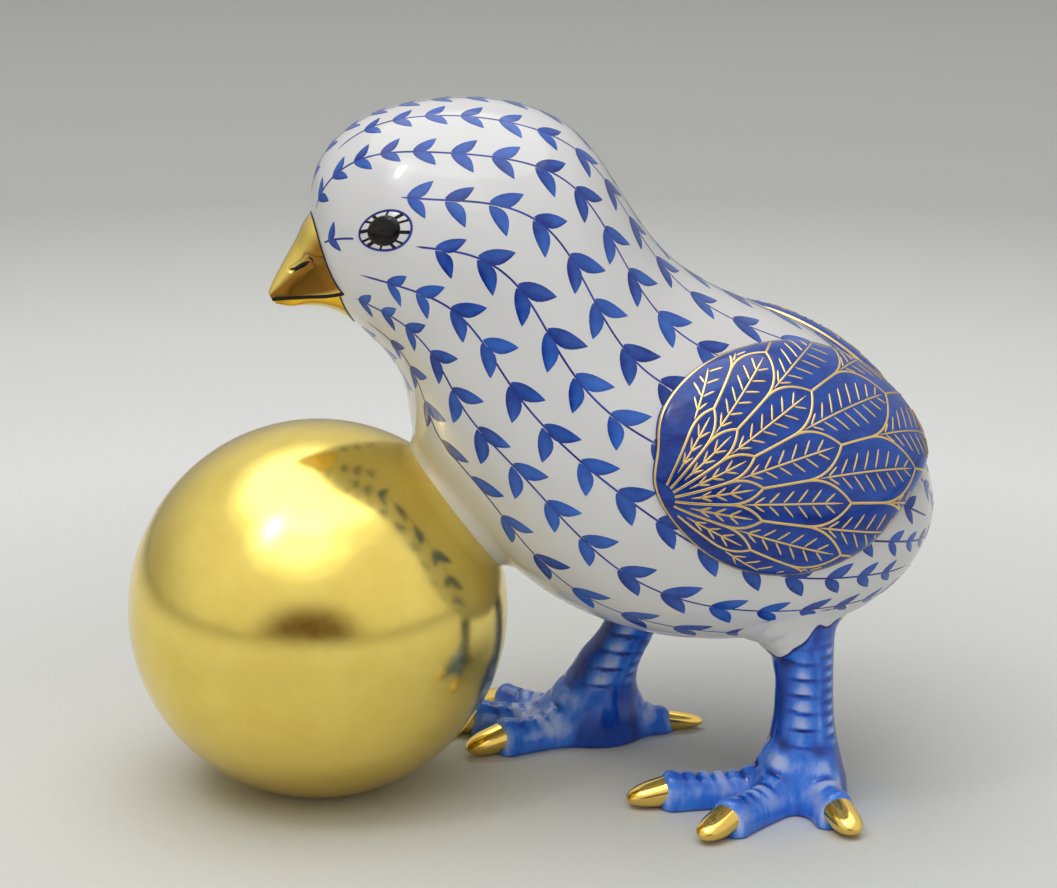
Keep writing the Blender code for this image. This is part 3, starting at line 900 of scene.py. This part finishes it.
def build_ball():
    foot = -math.acos(BALL_FOOT_RADIUS / BALL_RADIUS)
    latitudes = np.concatenate((np.linspace(math.pi / 2 - 0.004, foot + 0.02, 110), [foot]))
    turn = np.linspace(0, 2 * math.pi, 180, endpoint=False)
    lat, lon = np.meshgrid(latitudes, turn, indexing="ij")
    ball = np.stack((np.cos(lat) * np.cos(lon), np.cos(lat) * np.sin(lon), np.sin(lat)), -1) * BALL_RADIUS
    inner = ball[-1:] * np.array((0.96, 0.96, 1))
    rows = np.concatenate((ball, inner)) + BALL_CENTRE
    rows[..., 2] = np.maximum(rows[..., 2], 0)
    top = BALL_CENTRE + np.array((0, 0, BALL_RADIUS))
    sheet = Sheet()
    sheet.grid(rows, wrap=True, first=top, last=BALL_CENTRE * np.array((1, 1, 0)))
    sheet.piece("ball_gilding", BALL_GOLD)


def build_pad():
    out = unit(BREAST_TOUCH - BALL_CENTRE)
    up = np.array((-out[2], 0, out[0]))
    centre = BALL_CENTRE - up * PAD_DROP

    def field(p):
        rel = p - centre
        h = rel @ out
        r = np.linalg.norm(rel - h[:, None] * out, axis=1)
        disc = smooth_max(r - PAD_RADIUS, h - 24.0, 0.5)
        disc = smooth_max(disc, BALL_RADIUS - np.linalg.norm(p - BALL_CENTRE, axis=1) - 0.3, 0.5)
        return smooth_min(disc, skin_distance(p), PAD_BLEND)

    low = np.array((6.0, -11.5, 19.0))
    high = np.array((24.0, 11.5, 43.0))
    points, faces, normals = zero_surface(field, field, low, high, 0.4)
    plain = np.zeros(len(points))
    blended_piece("breast_pad", points, faces, normals, skin_distance(points), WHITE, plain, plain)


build_ball()
build_pad()


# Wings

WING_SCALE = np.array((7.0, 0.37))
ring_steps = np.linspace(0, len(WING_OUTLINE), 720, endpoint=False)
ring_flat = (spline_at(WING_RING, ring_steps) - WING_CENTRE) * WING_SCALE
ring_angle = np.arctan2(ring_flat[:, 1], ring_flat[:, 0])
ring_order = np.argsort(ring_angle)
RIM_ANGLE = ring_angle[ring_order]
RIM_REACH = np.hypot(*ring_flat.T)[ring_order]


def wing_share(t, degrees):
    """How far a place is from the wing's middle towards its rim, from 0 to 1."""
    flat = (np.stack((t, degrees), -1) - WING_CENTRE) * WING_SCALE
    angle = np.arctan2(flat[..., 1], flat[..., 0])
    rim = np.interp(angle, RIM_ANGLE, RIM_REACH, period=2 * math.pi)
    return np.hypot(flat[..., 0], flat[..., 1]) / rim


def wing_skin(t, a):
    share = clamp(wing_share(t, np.degrees(a)))
    lift = WING_LIFT * np.sqrt(np.maximum(1 - share**8, 0)) + WING_DOME * (1 - share**2)
    return skin(t, a) + skin_out(t, a) * lift[..., None]


def build_wing(side, label):
    shares = np.concatenate((np.linspace(0.02, 0.8, 26), 1 - 0.2 * np.linspace(1, 0, 26)[1:] ** 2.2))
    steps = np.linspace(0, len(WING_OUTLINE), 180, endpoint=False)
    ring = spline_at(WING_RING, steps) - WING_CENTRE
    places = WING_CENTRE + ring[None] * shares[::-1, None, None]
    t, a = places[..., 0], np.radians(places[..., 1])
    root = skin(t[0], a[0]) - skin_out(t[0], a[0]) * WING_ROOT_DEPTH
    points = np.concatenate((root[None], wing_skin(t, a)))
    # Painted light: the tone, and so the blue, is lighter towards the top of the wing and a little towards
    # its rear.
    tones = 0.34 + 0.16 * np.clip((60 - places[..., 1]) / 45, -1, 1)
    tones = tones + 0.05 * (places[..., 0] - WING_CENTRE[0])
    middle = (WING_CENTRE[0], math.radians(WING_CENTRE[1]))
    crown = skin(*middle) + skin_out(*middle) * (WING_LIFT + WING_DOME)
    sheet = Sheet()
    tones = np.concatenate((tones[:1], tones))
    sheet.grid(mirrored(points, side), None, tones, wrap=True, last=mirrored(crown, side))
    sheet.piece(f"{label}_wing_glaze", WING_BLUE)


# The fan of feathers: the heading of its middle line, where its lines meet, the degrees between them, and
# how far towards the wing's rim they may run, as a share
FAN_HEADING = math.radians(-38)
FAN_ROOT = (-18.5, 0.5)
FAN_PITCH = 17.0
FAN_LIMIT = 0.945
wing_patch = Patch(WING_CENTRE[0], math.radians(WING_CENTRE[1]), FAN_HEADING)

# Rows of feathers from the shoulder: how far their tips reach, how long their rounded ends are, and the
# numbers of the first and last line between them, counted in pitches from the middle of the fan
FEATHER_ROWS = ((10.5, 3.6, -3, 3), (20.0, 5.0, -3.5, 3.5), (30.5, 6.5, -4, 4), (44.0, 8.0, -3.5, 3.5))


def fan_place(reach, degrees):
    """Body coordinates of a place in the fan of feathers that opens from the shoulder."""
    angle = np.radians(degrees)
    return wing_patch.at(FAN_ROOT[0] + reach * np.cos(angle), FAN_ROOT[1] + reach * np.sin(angle))


def gold_line(sheet, side, reach, degrees, width=0.28, taper=0.0):
    """A raised gold line through the fan, left out where it would run off the wing."""
    count = max(int(np.hypot(np.gradient(reach), np.radians(np.gradient(degrees)) * reach).sum() / 0.3), 3)
    f = np.linspace(0, 1, count + 1)
    old = np.linspace(0, 1, len(reach))
    t, a = fan_place(np.interp(f, old, reach), np.interp(f, old, degrees))
    keep = wing_share(t, np.degrees(a)) < FAN_LIMIT
    for run in runs_of(keep, 4):
        points = wing_skin(t[run], a[run])
        lay(sheet, points, normals_of(wing_skin, t[run], a[run]), side, width, 0.03, 0.05, taper)


def lay(sheet, points, out, side, width, lift, crown, taper=0.0, tones=None):
    """A ribbon along a line of the left side, or along the line's mirror image on the right side."""
    if side > 0:
        points = mirrored(points, side)[::-1]
        out = mirrored(out, side)[::-1]
    ribbon(sheet, points, out, width, lift, crown, tones, taper)


def build_wing_lines(side, label):
    sheet = Sheet()
    valley, start = 1.6, 1.6
    for tip, rounding, first, last in FEATHER_ROWS:
        bounds = np.arange(first, last + 0.5) * FAN_PITCH
        for bound in bounds:
            gold_line(sheet, side, np.linspace(start, tip - rounding, 10), np.full(10, bound))
        for middle in bounds[:-1] + FAN_PITCH / 2:
            f = np.linspace(0, 1, 16)
            bow = FAN_PITCH / 2 * (1 - f**2.1)
            for sign in (-1, 1):
                gold_line(sheet, side, tip - rounding * (1 - f), middle + sign * bow)
            gold_line(sheet, side, np.linspace(valley + 1.6, tip - 1.0, 8), np.full(8, middle), 0.21, 0.25)
            for place in np.arange(valley + 2.6, tip - 1.8, 1.5):
                room = min(1.0, (tip - place) / rounding, (place - valley) / max(start - valley, 0.1))
                line = np.linspace(0, 1, 6)
                for sign in (-1, 1):
                    away = sign * FAN_PITCH / 2 * 0.62 * room * (0.12 + 0.88 * line)
                    gold_line(sheet, side, place + 1.1 * line, middle + away, 0.21, 0.4)
        valley, start = tip - rounding, tip
    steps = np.linspace(0, len(WING_OUTLINE), 400)
    ring = WING_CENTRE + (spline_at(WING_RING, steps) - WING_CENTRE) * 0.988
    t, a = ring[:, 0], np.radians(ring[:, 1])
    lay(sheet, wing_skin(t, a), normals_of(wing_skin, t, a), side, 0.34, 0.03, 0.06)
    sheet.piece(f"{label}_wing_gold", LINE_GOLD, True)


for label, side in SIDES.items():
    build_wing(side, label)
    build_wing_lines(side, label)


# Eyes


def build_eye(side, label):
    t0, a0 = EYE_CENTRE[0], math.radians(EYE_CENTRE[1])
    first, second = Patch(t0, a0, 0.0).axes
    level = np.array((1, 0, 0.12))
    patch = Patch(t0, a0, math.atan2(level @ second, level @ first))

    def eye_skin(u, v):
        t, a = patch.at(u, v)
        rho = np.hypot(u / EYE_RADII[0], v / EYE_RADII[1])
        lift = EYE_LIFT * clamp(1 - rho**2)
        return skin(t, a) + skin_out(t, a) * lift[..., None], skin_out(t, a)

    def disc(name, material, radii, profile):
        shares = np.linspace(1, 0.03, 16)
        turn = np.linspace(0, 2 * math.pi, 64, endpoint=False)
        s, w = np.meshgrid(shares, turn, indexing="ij")
        base, outward = eye_skin(s * radii[0] * np.cos(w), s * radii[1] * np.sin(w))
        middle, way = eye_skin(np.zeros(1), np.zeros(1))
        crown = middle + way * profile(np.zeros(1))[:, None]
        raised = mirrored(base + outward * profile(s)[..., None], side)
        sheet = Sheet()
        sheet.grid(raised, mirrored(outward, side), wrap=True, last=mirrored(crown, side))
        sheet.piece(name, material)

    disc(f"{label}_eye_white", WHITE, [r * 1.04 for r in EYE_RADII], lambda s: 0.03 - 0.09 * s**14)
    disc(f"{label}_pupil", BLACK, PUPIL_RADII, lambda s: 0.05 + 0.16 * np.sqrt(1 - s**4) - 0.07 * s**10)
    marks = Sheet()
    for k in range(EYE_TICKS):
        w = math.radians(15 + 360 / EYE_TICKS * k + 5 * math.sin(k * 2.1))
        f = np.linspace(0, 1, 7)
        u0, v0 = PUPIL_RADII[0] * 0.9 * math.cos(w), PUPIL_RADII[1] * 0.9 * math.sin(w)
        u1, v1 = EYE_RADII[0] * 0.97 * math.cos(w), EYE_RADII[1] * 0.97 * math.sin(w)
        points, outward = eye_skin(u0 + (u1 - u0) * f, v0 + (v1 - v0) * f)
        lay(marks, points, outward, side, 0.42 - 0.14 * (k % 2), 0.06, 0.0)
    marks.piece(f"{label}_eye_ticks", BLACK, True)
    ring = Sheet()
    w = np.linspace(0, 2 * math.pi, 90)
    points, outward = eye_skin(EYE_RADII[0] * np.cos(w), EYE_RADII[1] * np.sin(w))
    lay(ring, points, outward, side, 0.3, 0.05, 0.0, 0.0, 0.2 + 0.2 * np.sin(w))
    ring.piece(f"{label}_eye_ring", STEM_BLUE, True)


for label, side in SIDES.items():
    build_eye(side, label)


# Beak


def jaw_section(edge, crest, width, shares, roundness):
    """From one edge of a jaw over its crest to the other, between a tent and a round arch."""
    rise = 1 - np.abs(shares) ** roundness
    return edge + (crest - edge) * rise[:, None] + np.array((0, width, 0)) * shares[:, None]


def build_beak():
    rows = np.array(BEAK_ROWS)
    places = np.arange(len(rows), dtype=float)
    fine = np.concatenate((np.linspace(0, 4.6, 90), np.linspace(4.6, 5, 14)[1:]))
    values = np.stack([smooth_rows(places, column, fine) for column in rows.T], 1)
    shares = np.cos(np.linspace(0, math.pi, 91))
    upper, lower = [], []
    setback = np.array((BEAK_SETBACK, 0, 0))
    for row in values:
        ridge, edge, keel = (np.array((row[k], 0, row[k + 1])) for k in (0, 2, 5))
        width, roundness = row[4], row[7]
        narrower = max(width - BEAK_STEP, width / 2)
        upper.append(jaw_section(edge, ridge, width, shares, roundness))
        inside = edge + (ridge - edge) * 0.12 + setback
        lower.append(jaw_section(inside, keel + setback, narrower, shares, LOWER_JAW_ROUNDNESS))
    upper, lower = nostrils(np.array(upper)), np.array(lower)
    # Low tones on the sides of the upper jaw paint them dark brown: painted shade, standing in for the darker
    # reflection on those sides.
    side = np.abs(shares)
    flank = clamp((side - 0.40) / 0.22) * clamp((1.0 - side) / 0.06)
    painted_side_shade = (flank * flank * (3 - 2 * flank))[None] * clamp((fine[:, None] + 0.4) / 1.5)
    pale = np.full(painted_side_shade.shape, 0.9)
    for name, jaw, tones in (("upper_beak", upper, 1 - 0.95 * painted_side_shade), ("lower_beak", lower, pale)):
        sheet = Sheet()
        sheet.grid(jaw, None, tones, wrap=True, last=jaw[-1].mean(0))
        sheet.piece(name, BEAK_GOLD)
    return upper, lower


def slit_distance(points):
    """Distance from the nostril's slit as seen from the side, and how far along it."""
    start, end = NOSTRIL_SLIT
    flat = points[..., (0, 2)] - start
    along = clamp(flat @ (end - start) / ((end - start) ** 2).sum())
    return np.linalg.norm(flat - along[..., None] * (end - start), axis=-1), along


def nostrils(jaw):
    """The jaw with a slit and a small swelling above it pressed into both sides."""
    gap, along = slit_distance(jaw)
    up = np.linalg.norm((jaw[..., (0, 2)] - NOSTRIL_SWELLING) * np.array((0.8, 1.2)), axis=-1)
    relief = 0.3 * bell(up, 0.55) - 0.34 * bell(gap, 0.2 + 0.12 * along)
    ways = np.cross(np.gradient(jaw, axis=0), np.gradient(jaw, axis=1))
    ways = unit(ways * np.sign(ways[..., 1:2] * jaw[..., 1:2] + 1e-9))
    return jaw + ways * (relief * (np.abs(jaw[..., 1]) > 0.6))[..., None]


upper_jaw, lower_jaw = build_beak()


def border_on_body(jaw):
    """Where the rows of a jaw come out of the head, with the way out of the head there."""
    places = []
    for k in range(jaw.shape[1]):
        column = jaw[:, k]
        d = body_distance(column)
        cross = np.flatnonzero((d[:-1] < 0) & (d[1:] >= 0))
        if len(cross):
            i = cross[-1]
            places.append(column[i] + (column[i + 1] - column[i]) * (-d[i] / (d[i + 1] - d[i])))
    found = [body_tree.find_nearest(p.tolist()) for p in places]
    return np.array([tuple(f[0]) for f in found]), np.array([tuple(f[1]) for f in found])


def build_beak_lines():
    sheet = Sheet()
    for edge in (0, -1):
        line = upper_jaw[:, edge]
        line = line[body_distance(line) > -0.2]
        way = np.array((-0.3, 1 if edge == 0 else -1, -0.45))
        if edge == 0:
            line = line[::-1]
        outward = unit(np.tile(way, (len(line), 1)))
        ribbon(sheet, line - outward * 0.05, outward, 0.42, 0.10, 0.05)
    for jaw, width in ((upper_jaw, 0.28), (lower_jaw, 0.2)):
        points, outward = border_on_body(jaw)
        ribbon(sheet, points, outward, width, 0.1, 0.05)
    gap, along = slit_distance(upper_jaw)
    count = 14
    for side in (-1, 1):
        here = np.where(upper_jaw[..., 1] * side > 0.6, gap, 9.0)
        picks = [np.argmin(here + 5 * np.abs(along - share)) for share in np.linspace(0.04, 0.96, count)]
        line = upper_jaw.reshape(-1, 3)[picks]
        for _ in range(6):
            line[1:-1] = (line[:-2] + line[1:-1] * 2 + line[2:]) / 4
        outward = unit(np.tile(np.array((-0.5, 0.8 * side, 0.35)), (count, 1)))
        ribbon(sheet, line + outward * 0.05, outward, 0.62, 0.03, 0.02, None, 0.7)
    sheet.piece("beak_lines", BLACK, True)


build_beak_lines()


# Sprigs on the body

# Pitch of the leaf pairs along a stem, their size, and the number of stems around the body, with the
# degrees and the usual millimetres between them
LEAF_PITCH = 6.0
LEAF_LENGTH = 4.4
LEAF_WIDTH = 2.0
STEMS = 18
STEM_SPREAD = 360 / STEMS
STEM_SPACING = 7.6

# How far stems and leaves stay from the eye's middle and from the beak, in millimetres
STEM_GAPS = (3.8, 1.0)
LEAF_GAPS = (3.9, 0.9)

# The lowest painted place in each section of the body, in degrees from the back
PAINTED_DOWN_TO = (
    (3.2, 175), (4.24, 160), (6.19, 144), (7.82, 143), (9.05, 147), (10.5, 158), (12.0, 162), (14.5, 165),
)


def bare(t, degrees):
    """Places that stay white: the breast and the underside."""
    return degrees > np.interp(t, *zip(*PAINTED_DOWN_TO))


EYE_MIDDLE = skin(EYE_CENTRE[0], math.radians(EYE_CENTRE[1]))
BEAK_POINTS = np.concatenate((upper_jaw[::4, ::4], lower_jaw[::4, ::4])).reshape(-1, 3)


def eye_distance(points):
    return np.linalg.norm(points - EYE_MIDDLE, axis=-1)


def beak_distance(points):
    return np.linalg.norm(np.reshape(points, (-1, 1, 3)) - BEAK_POINTS, axis=-1).min(1)


def leaf(sheet, side, t, a, heading, length, width, tone):
    """A lancet stroke of the brush from the stem outwards, lighter along its middle."""
    s = np.array((0.0, 0.05, 0.14, 0.26, 0.4, 0.54, 0.68, 0.8, 0.9, 0.97, 1.0))
    q = np.array((-1, -0.9, -0.5, 0, 0.5, 0.9, 1))
    half = width / 2 * np.maximum(np.sin(math.pi * s) ** 0.8, 0.04) * (1.15 - 0.3 * s)
    patch = Patch(t, a, heading)
    u = np.repeat((s * length)[:, None], len(q), 1)
    v = half[:, None] * q[None] + 0.09 * length * math.copysign(1, -heading) * (np.sin(math.pi * s))[:, None]
    tt, aa = patch.at(u, v)
    out = skin_out(tt, aa)
    lift = np.where(np.abs(q) > 0.95, -0.02, 0.022)[None]
    points = skin(tt, aa) + out * lift[..., None]
    shade = tone + 0.5 * (1 - np.abs(q + 0.25) ** 1.5)[None] * (0.2 + 0.8 * s[:, None])
    sheet.grid(mirrored(points, side), mirrored(out, side), shade)


def build_sprigs():
    """Stems along the body, from the crown to the tail, with pairs of leaves that are smaller on the face."""
    random = np.random.default_rng(7)
    leaves = Sheet()
    stems = Sheet()
    half = STEMS // 2
    for number in range(half + 1):
        middle = number in (0, half)
        start, end = (1.0, 15.4) if number % 2 == 0 else (2.2, 14.7)
        t = np.arange(start, end, 0.03)
        degrees = STEM_SPREAD * number + (0 if middle else 2.2) * np.sin(t * 1.3 + number)
        line = skin(t, np.radians(degrees))
        run = np.concatenate(([0], np.cumsum(np.linalg.norm(np.diff(line, axis=0), axis=1))))
        keep = ~bare(t, degrees) & (wing_share(t, degrees) > 0.97)
        keep = keep & (eye_distance(line) > STEM_GAPS[0]) & (beak_distance(line) > STEM_GAPS[1])
        for side in (-1,) if middle else (-1, 1):
            for piece in runs_of(keep, 26):
                tones = 0.35 + 0.3 * np.sin(run[piece] * 0.6 + number)
                tt, aa = t[piece], np.radians(degrees[piece])
                lay(stems, skin(tt, aa), skin_out(tt, aa), side, 0.26, 0.018, 0.0, 0.05, tones)
            place = LEAF_PITCH * (0.2 + 0.35 * (number % 2))
            while place < run[-1] - 2.5:
                i = int(np.searchsorted(run, place))
                spacing = np.linalg.norm(skin(t[i], np.radians(degrees[i] + 1)) - line[i]) * STEM_SPREAD
                scale = float(np.clip(spacing / STEM_SPACING, 0.52, 1.0))
                place += LEAF_PITCH * scale
                for sign in (-1, 1):
                    size = scale * random.uniform(0.93, 1.06)
                    lean = sign * math.radians(34 + random.uniform(-5, 5))
                    tone = 0.03 + random.uniform(0, 0.34)
                    a = math.radians(degrees[i] + sign * 0.25 / STEM_SPACING * STEM_SPREAD)
                    tip_t, tip_a = Patch(t[i], a, lean).at(LEAF_LENGTH * size, 0.0)
                    ends = np.array((line[i], skin(tip_t, tip_a)))
                    if eye_distance(ends).min() < LEAF_GAPS[0] or beak_distance(ends).min() < LEAF_GAPS[1]:
                        continue
                    if bare(tip_t, np.degrees(tip_a)) or bare(t[i], degrees[i]):
                        continue
                    if max(wing_share(tip_t, np.degrees(tip_a)), wing_share(t[i], degrees[i])) < 0.9:
                        continue
                    leaf(leaves, side, t[i], a, lean, LEAF_LENGTH * size, LEAF_WIDTH * size, tone)
    leaves.piece("painted_leaves", LEAF_BLUE, True)
    stems.piece("painted_stems", STEM_BLUE, True)


build_sprigs()


# Studio, in metres

# Way to the middle of the room's darker side, and how narrow that side is along each axis
DARK_SIDE = (-0.13, -0.96, 0.0)
DARK_SIDE_SHAPE = (1.9, 0.6, 2.9)


def build_stage():
    """A round paper floor, plain and pale, with painted shade: darker under the object, palest a little way
    out and darker towards its edge, as a painted falloff of light.
    """
    rings = (0.05, 0.1, 0.15, 0.2, 0.3, 0.45, 0.7, 1.2, 4.0)
    turns = 64
    circle = [(math.cos(2 * math.pi * k / turns), math.sin(2 * math.pi * k / turns)) for k in range(turns)]
    points = [(0, 0, 0)] + [(r * x, r * y, 0) for r in rings for x, y in circle]
    steps = [(k, (k + 1) % turns) for k in range(turns)]
    faces = [(0, 1 + k, 1 + n) for k, n in steps]
    for base in range(1, 1 + (len(rings) - 1) * turns, turns):
        faces += [(base + k, base + turns + k, base + turns + n, base + n) for k, n in steps]
    mesh = bpy.data.meshes.new("floor")
    mesh.from_pydata(points, [], faces)
    floor = bpy.data.objects.new("floor", mesh)
    floor.location = (0, 0, -0.00002)
    bpy.context.scene.collection.objects.link(floor)
    material, tree, shader = new_material("paper_floor", (0.8, 0.8, 0.77), 0.6)
    shader.inputs["Specular IOR Level"].default_value = 0.25
    place = node(tree, "ShaderNodeTexCoord").outputs["Object"]
    far = map_range(tree, vector_math(tree, "LENGTH", place), 0.0, 0.7, 0.0, 1.0)
    # Painted shadow and light: darker under the object, a painted pool of light a little way out, and darker
    # again towards the edge.
    painted_shade_paper = ramp(tree, far, (
        (0.0, (0.70, 0.705, 0.66)), (0.10, (0.73, 0.735, 0.70)), (0.2, (0.86, 0.865, 0.84)),
        (0.32, (0.77, 0.77, 0.745)), (0.5, (0.53, 0.53, 0.505)), (0.85, (0.56, 0.56, 0.53)),
    ))
    grain = ramp(tree, noise(tree, 900, 4), ((0.3, (0.97, 0.97, 0.97)), (0.7, (1.0, 1.0, 1.0))))
    painted_shade_paper = mix_colour(tree, 1.0, painted_shade_paper, grain, "MULTIPLY")
    tree.links.new(painted_shade_paper, shader.inputs["Base Color"])
    mesh.materials.append(material)


def build_light(name, place, size, power):
    """A soft lamp of so many watts that points at the object."""
    lamp = bpy.data.lights.new(name, "AREA")
    lamp.shape = "ELLIPSE"
    lamp.size, lamp.size_y = size
    lamp.energy = power
    made = bpy.data.objects.new(name, lamp)
    made.location = place
    made.rotation_euler = (Vector((0, 0, 0.03)) - Vector(place)).to_track_quat("-Z", "Y").to_euler()
    made.visible_camera = False
    bpy.context.scene.collection.objects.link(made)


def build_world():
    """A plain pale room with one darker side, the same to the camera and to mirrors.

    Matt surfaces get a soft fill from it instead, which is stronger from the front.
    """
    world = bpy.data.worlds.new("studio")
    world.use_nodes = True
    tree = world.node_tree
    back = tree.nodes["Background"]
    place = node(tree, "ShaderNodeTexCoord").outputs["Generated"]
    axes = node(tree, "ShaderNodeSeparateXYZ")
    tree.links.new(place, axes.inputs["Vector"])
    height = map_range(tree, axes.outputs["Z"], -0.2, 1.0, 0.0, 1.0)
    front = ramp(tree, height, (
        (0.0, (0.62, 0.61, 0.58)), (0.25, (0.82, 0.81, 0.76)), (0.6, (0.90, 0.89, 0.84)),
    ))
    rear = ramp(tree, height, (
        (0.1, (0.42, 0.42, 0.40)), (0.25, (0.44, 0.44, 0.42)), (0.6, (0.80, 0.79, 0.75)),
    ))
    room = mix_colour(tree, map_range(tree, axes.outputs["Y"], -0.2, 0.6, 0.0, 1.0), front, rear)
    away = vector_math(tree, "MULTIPLY", vector_math(tree, "SUBTRACT", place, DARK_SIDE), DARK_SIDE_SHAPE)
    shade = map_range(tree, vector_math(tree, "LENGTH", away), 0.6, 1.15, 1.0, 0.0)
    room = mix_colour(tree, shade, room, (0.12, 0.06, 0.02))
    rays = node(tree, "ShaderNodeLightPath")
    seen = math_node(tree, "MAXIMUM", rays.outputs["Is Camera Ray"], rays.outputs["Is Glossy Ray"])
    seen = math_node(tree, "MAXIMUM", seen, rays.outputs["Is Transmission Ray"])
    from_front = map_range(tree, axes.outputs["Y"], -0.8, -0.1, 1.0, 0.0)
    fill = mix_colour(tree, from_front, (0.03, 0.03, 0.032), (0.60, 0.60, 0.61))
    tree.links.new(mix_colour(tree, seen, fill, room), back.inputs["Color"])
    back.inputs["Strength"].default_value = 1.0
    bpy.context.scene.world = world


build_stage()
build_world()

# Small lamps stand just before larger ones, so that their highlights fade outwards
build_light("softbox_middle", (-0.36, -0.25, 0.70), (0.07, 0.18), 0.25)
build_light("softbox", (-0.362, -0.252, 0.705), (0.20, 0.34), 0.25)
build_light("window", (-0.22, -0.50, 0.80), (0.62, 0.50), 0.5)
build_light("window_rim", (-0.222, -0.505, 0.81), (1.1, 0.8), 0.8)
build_light("overhead", (-0.03, 0.08, 0.85), (1.15, 1.05), 4.3)
build_light("ceiling", (-0.05, 0.0, 0.95), (1.9, 1.6), 2.3)


# The camera's place, its right-hand and backward axes, and the length of its lens in millimetres
CAMERA_PLACE = (-0.03893, -0.33763, 0.12904)
CAMERA_RIGHT = (0.99357, -0.1132, 0)
CAMERA_BACK = (-0.1093, -0.9597, 0.2588)
LENS = 110.35


def build_camera():
    lens = bpy.data.cameras.new("camera")
    lens.sensor_width = 36
    lens.lens = LENS
    lens.clip_start = 0.01
    lens.clip_end = 20
    made = bpy.data.objects.new("camera", lens)
    right = Vector(CAMERA_RIGHT).normalized()
    back = Vector(CAMERA_BACK).normalized()
    up = back.cross(right)
    turn = Matrix((right, up, back)).transposed().to_4x4()
    made.matrix_world = Matrix.Translation(CAMERA_PLACE) @ turn
    bpy.context.scene.collection.objects.link(made)
    bpy.context.scene.camera = made


build_camera()
bpy.context.scene.view_settings.view_transform = "Standard"
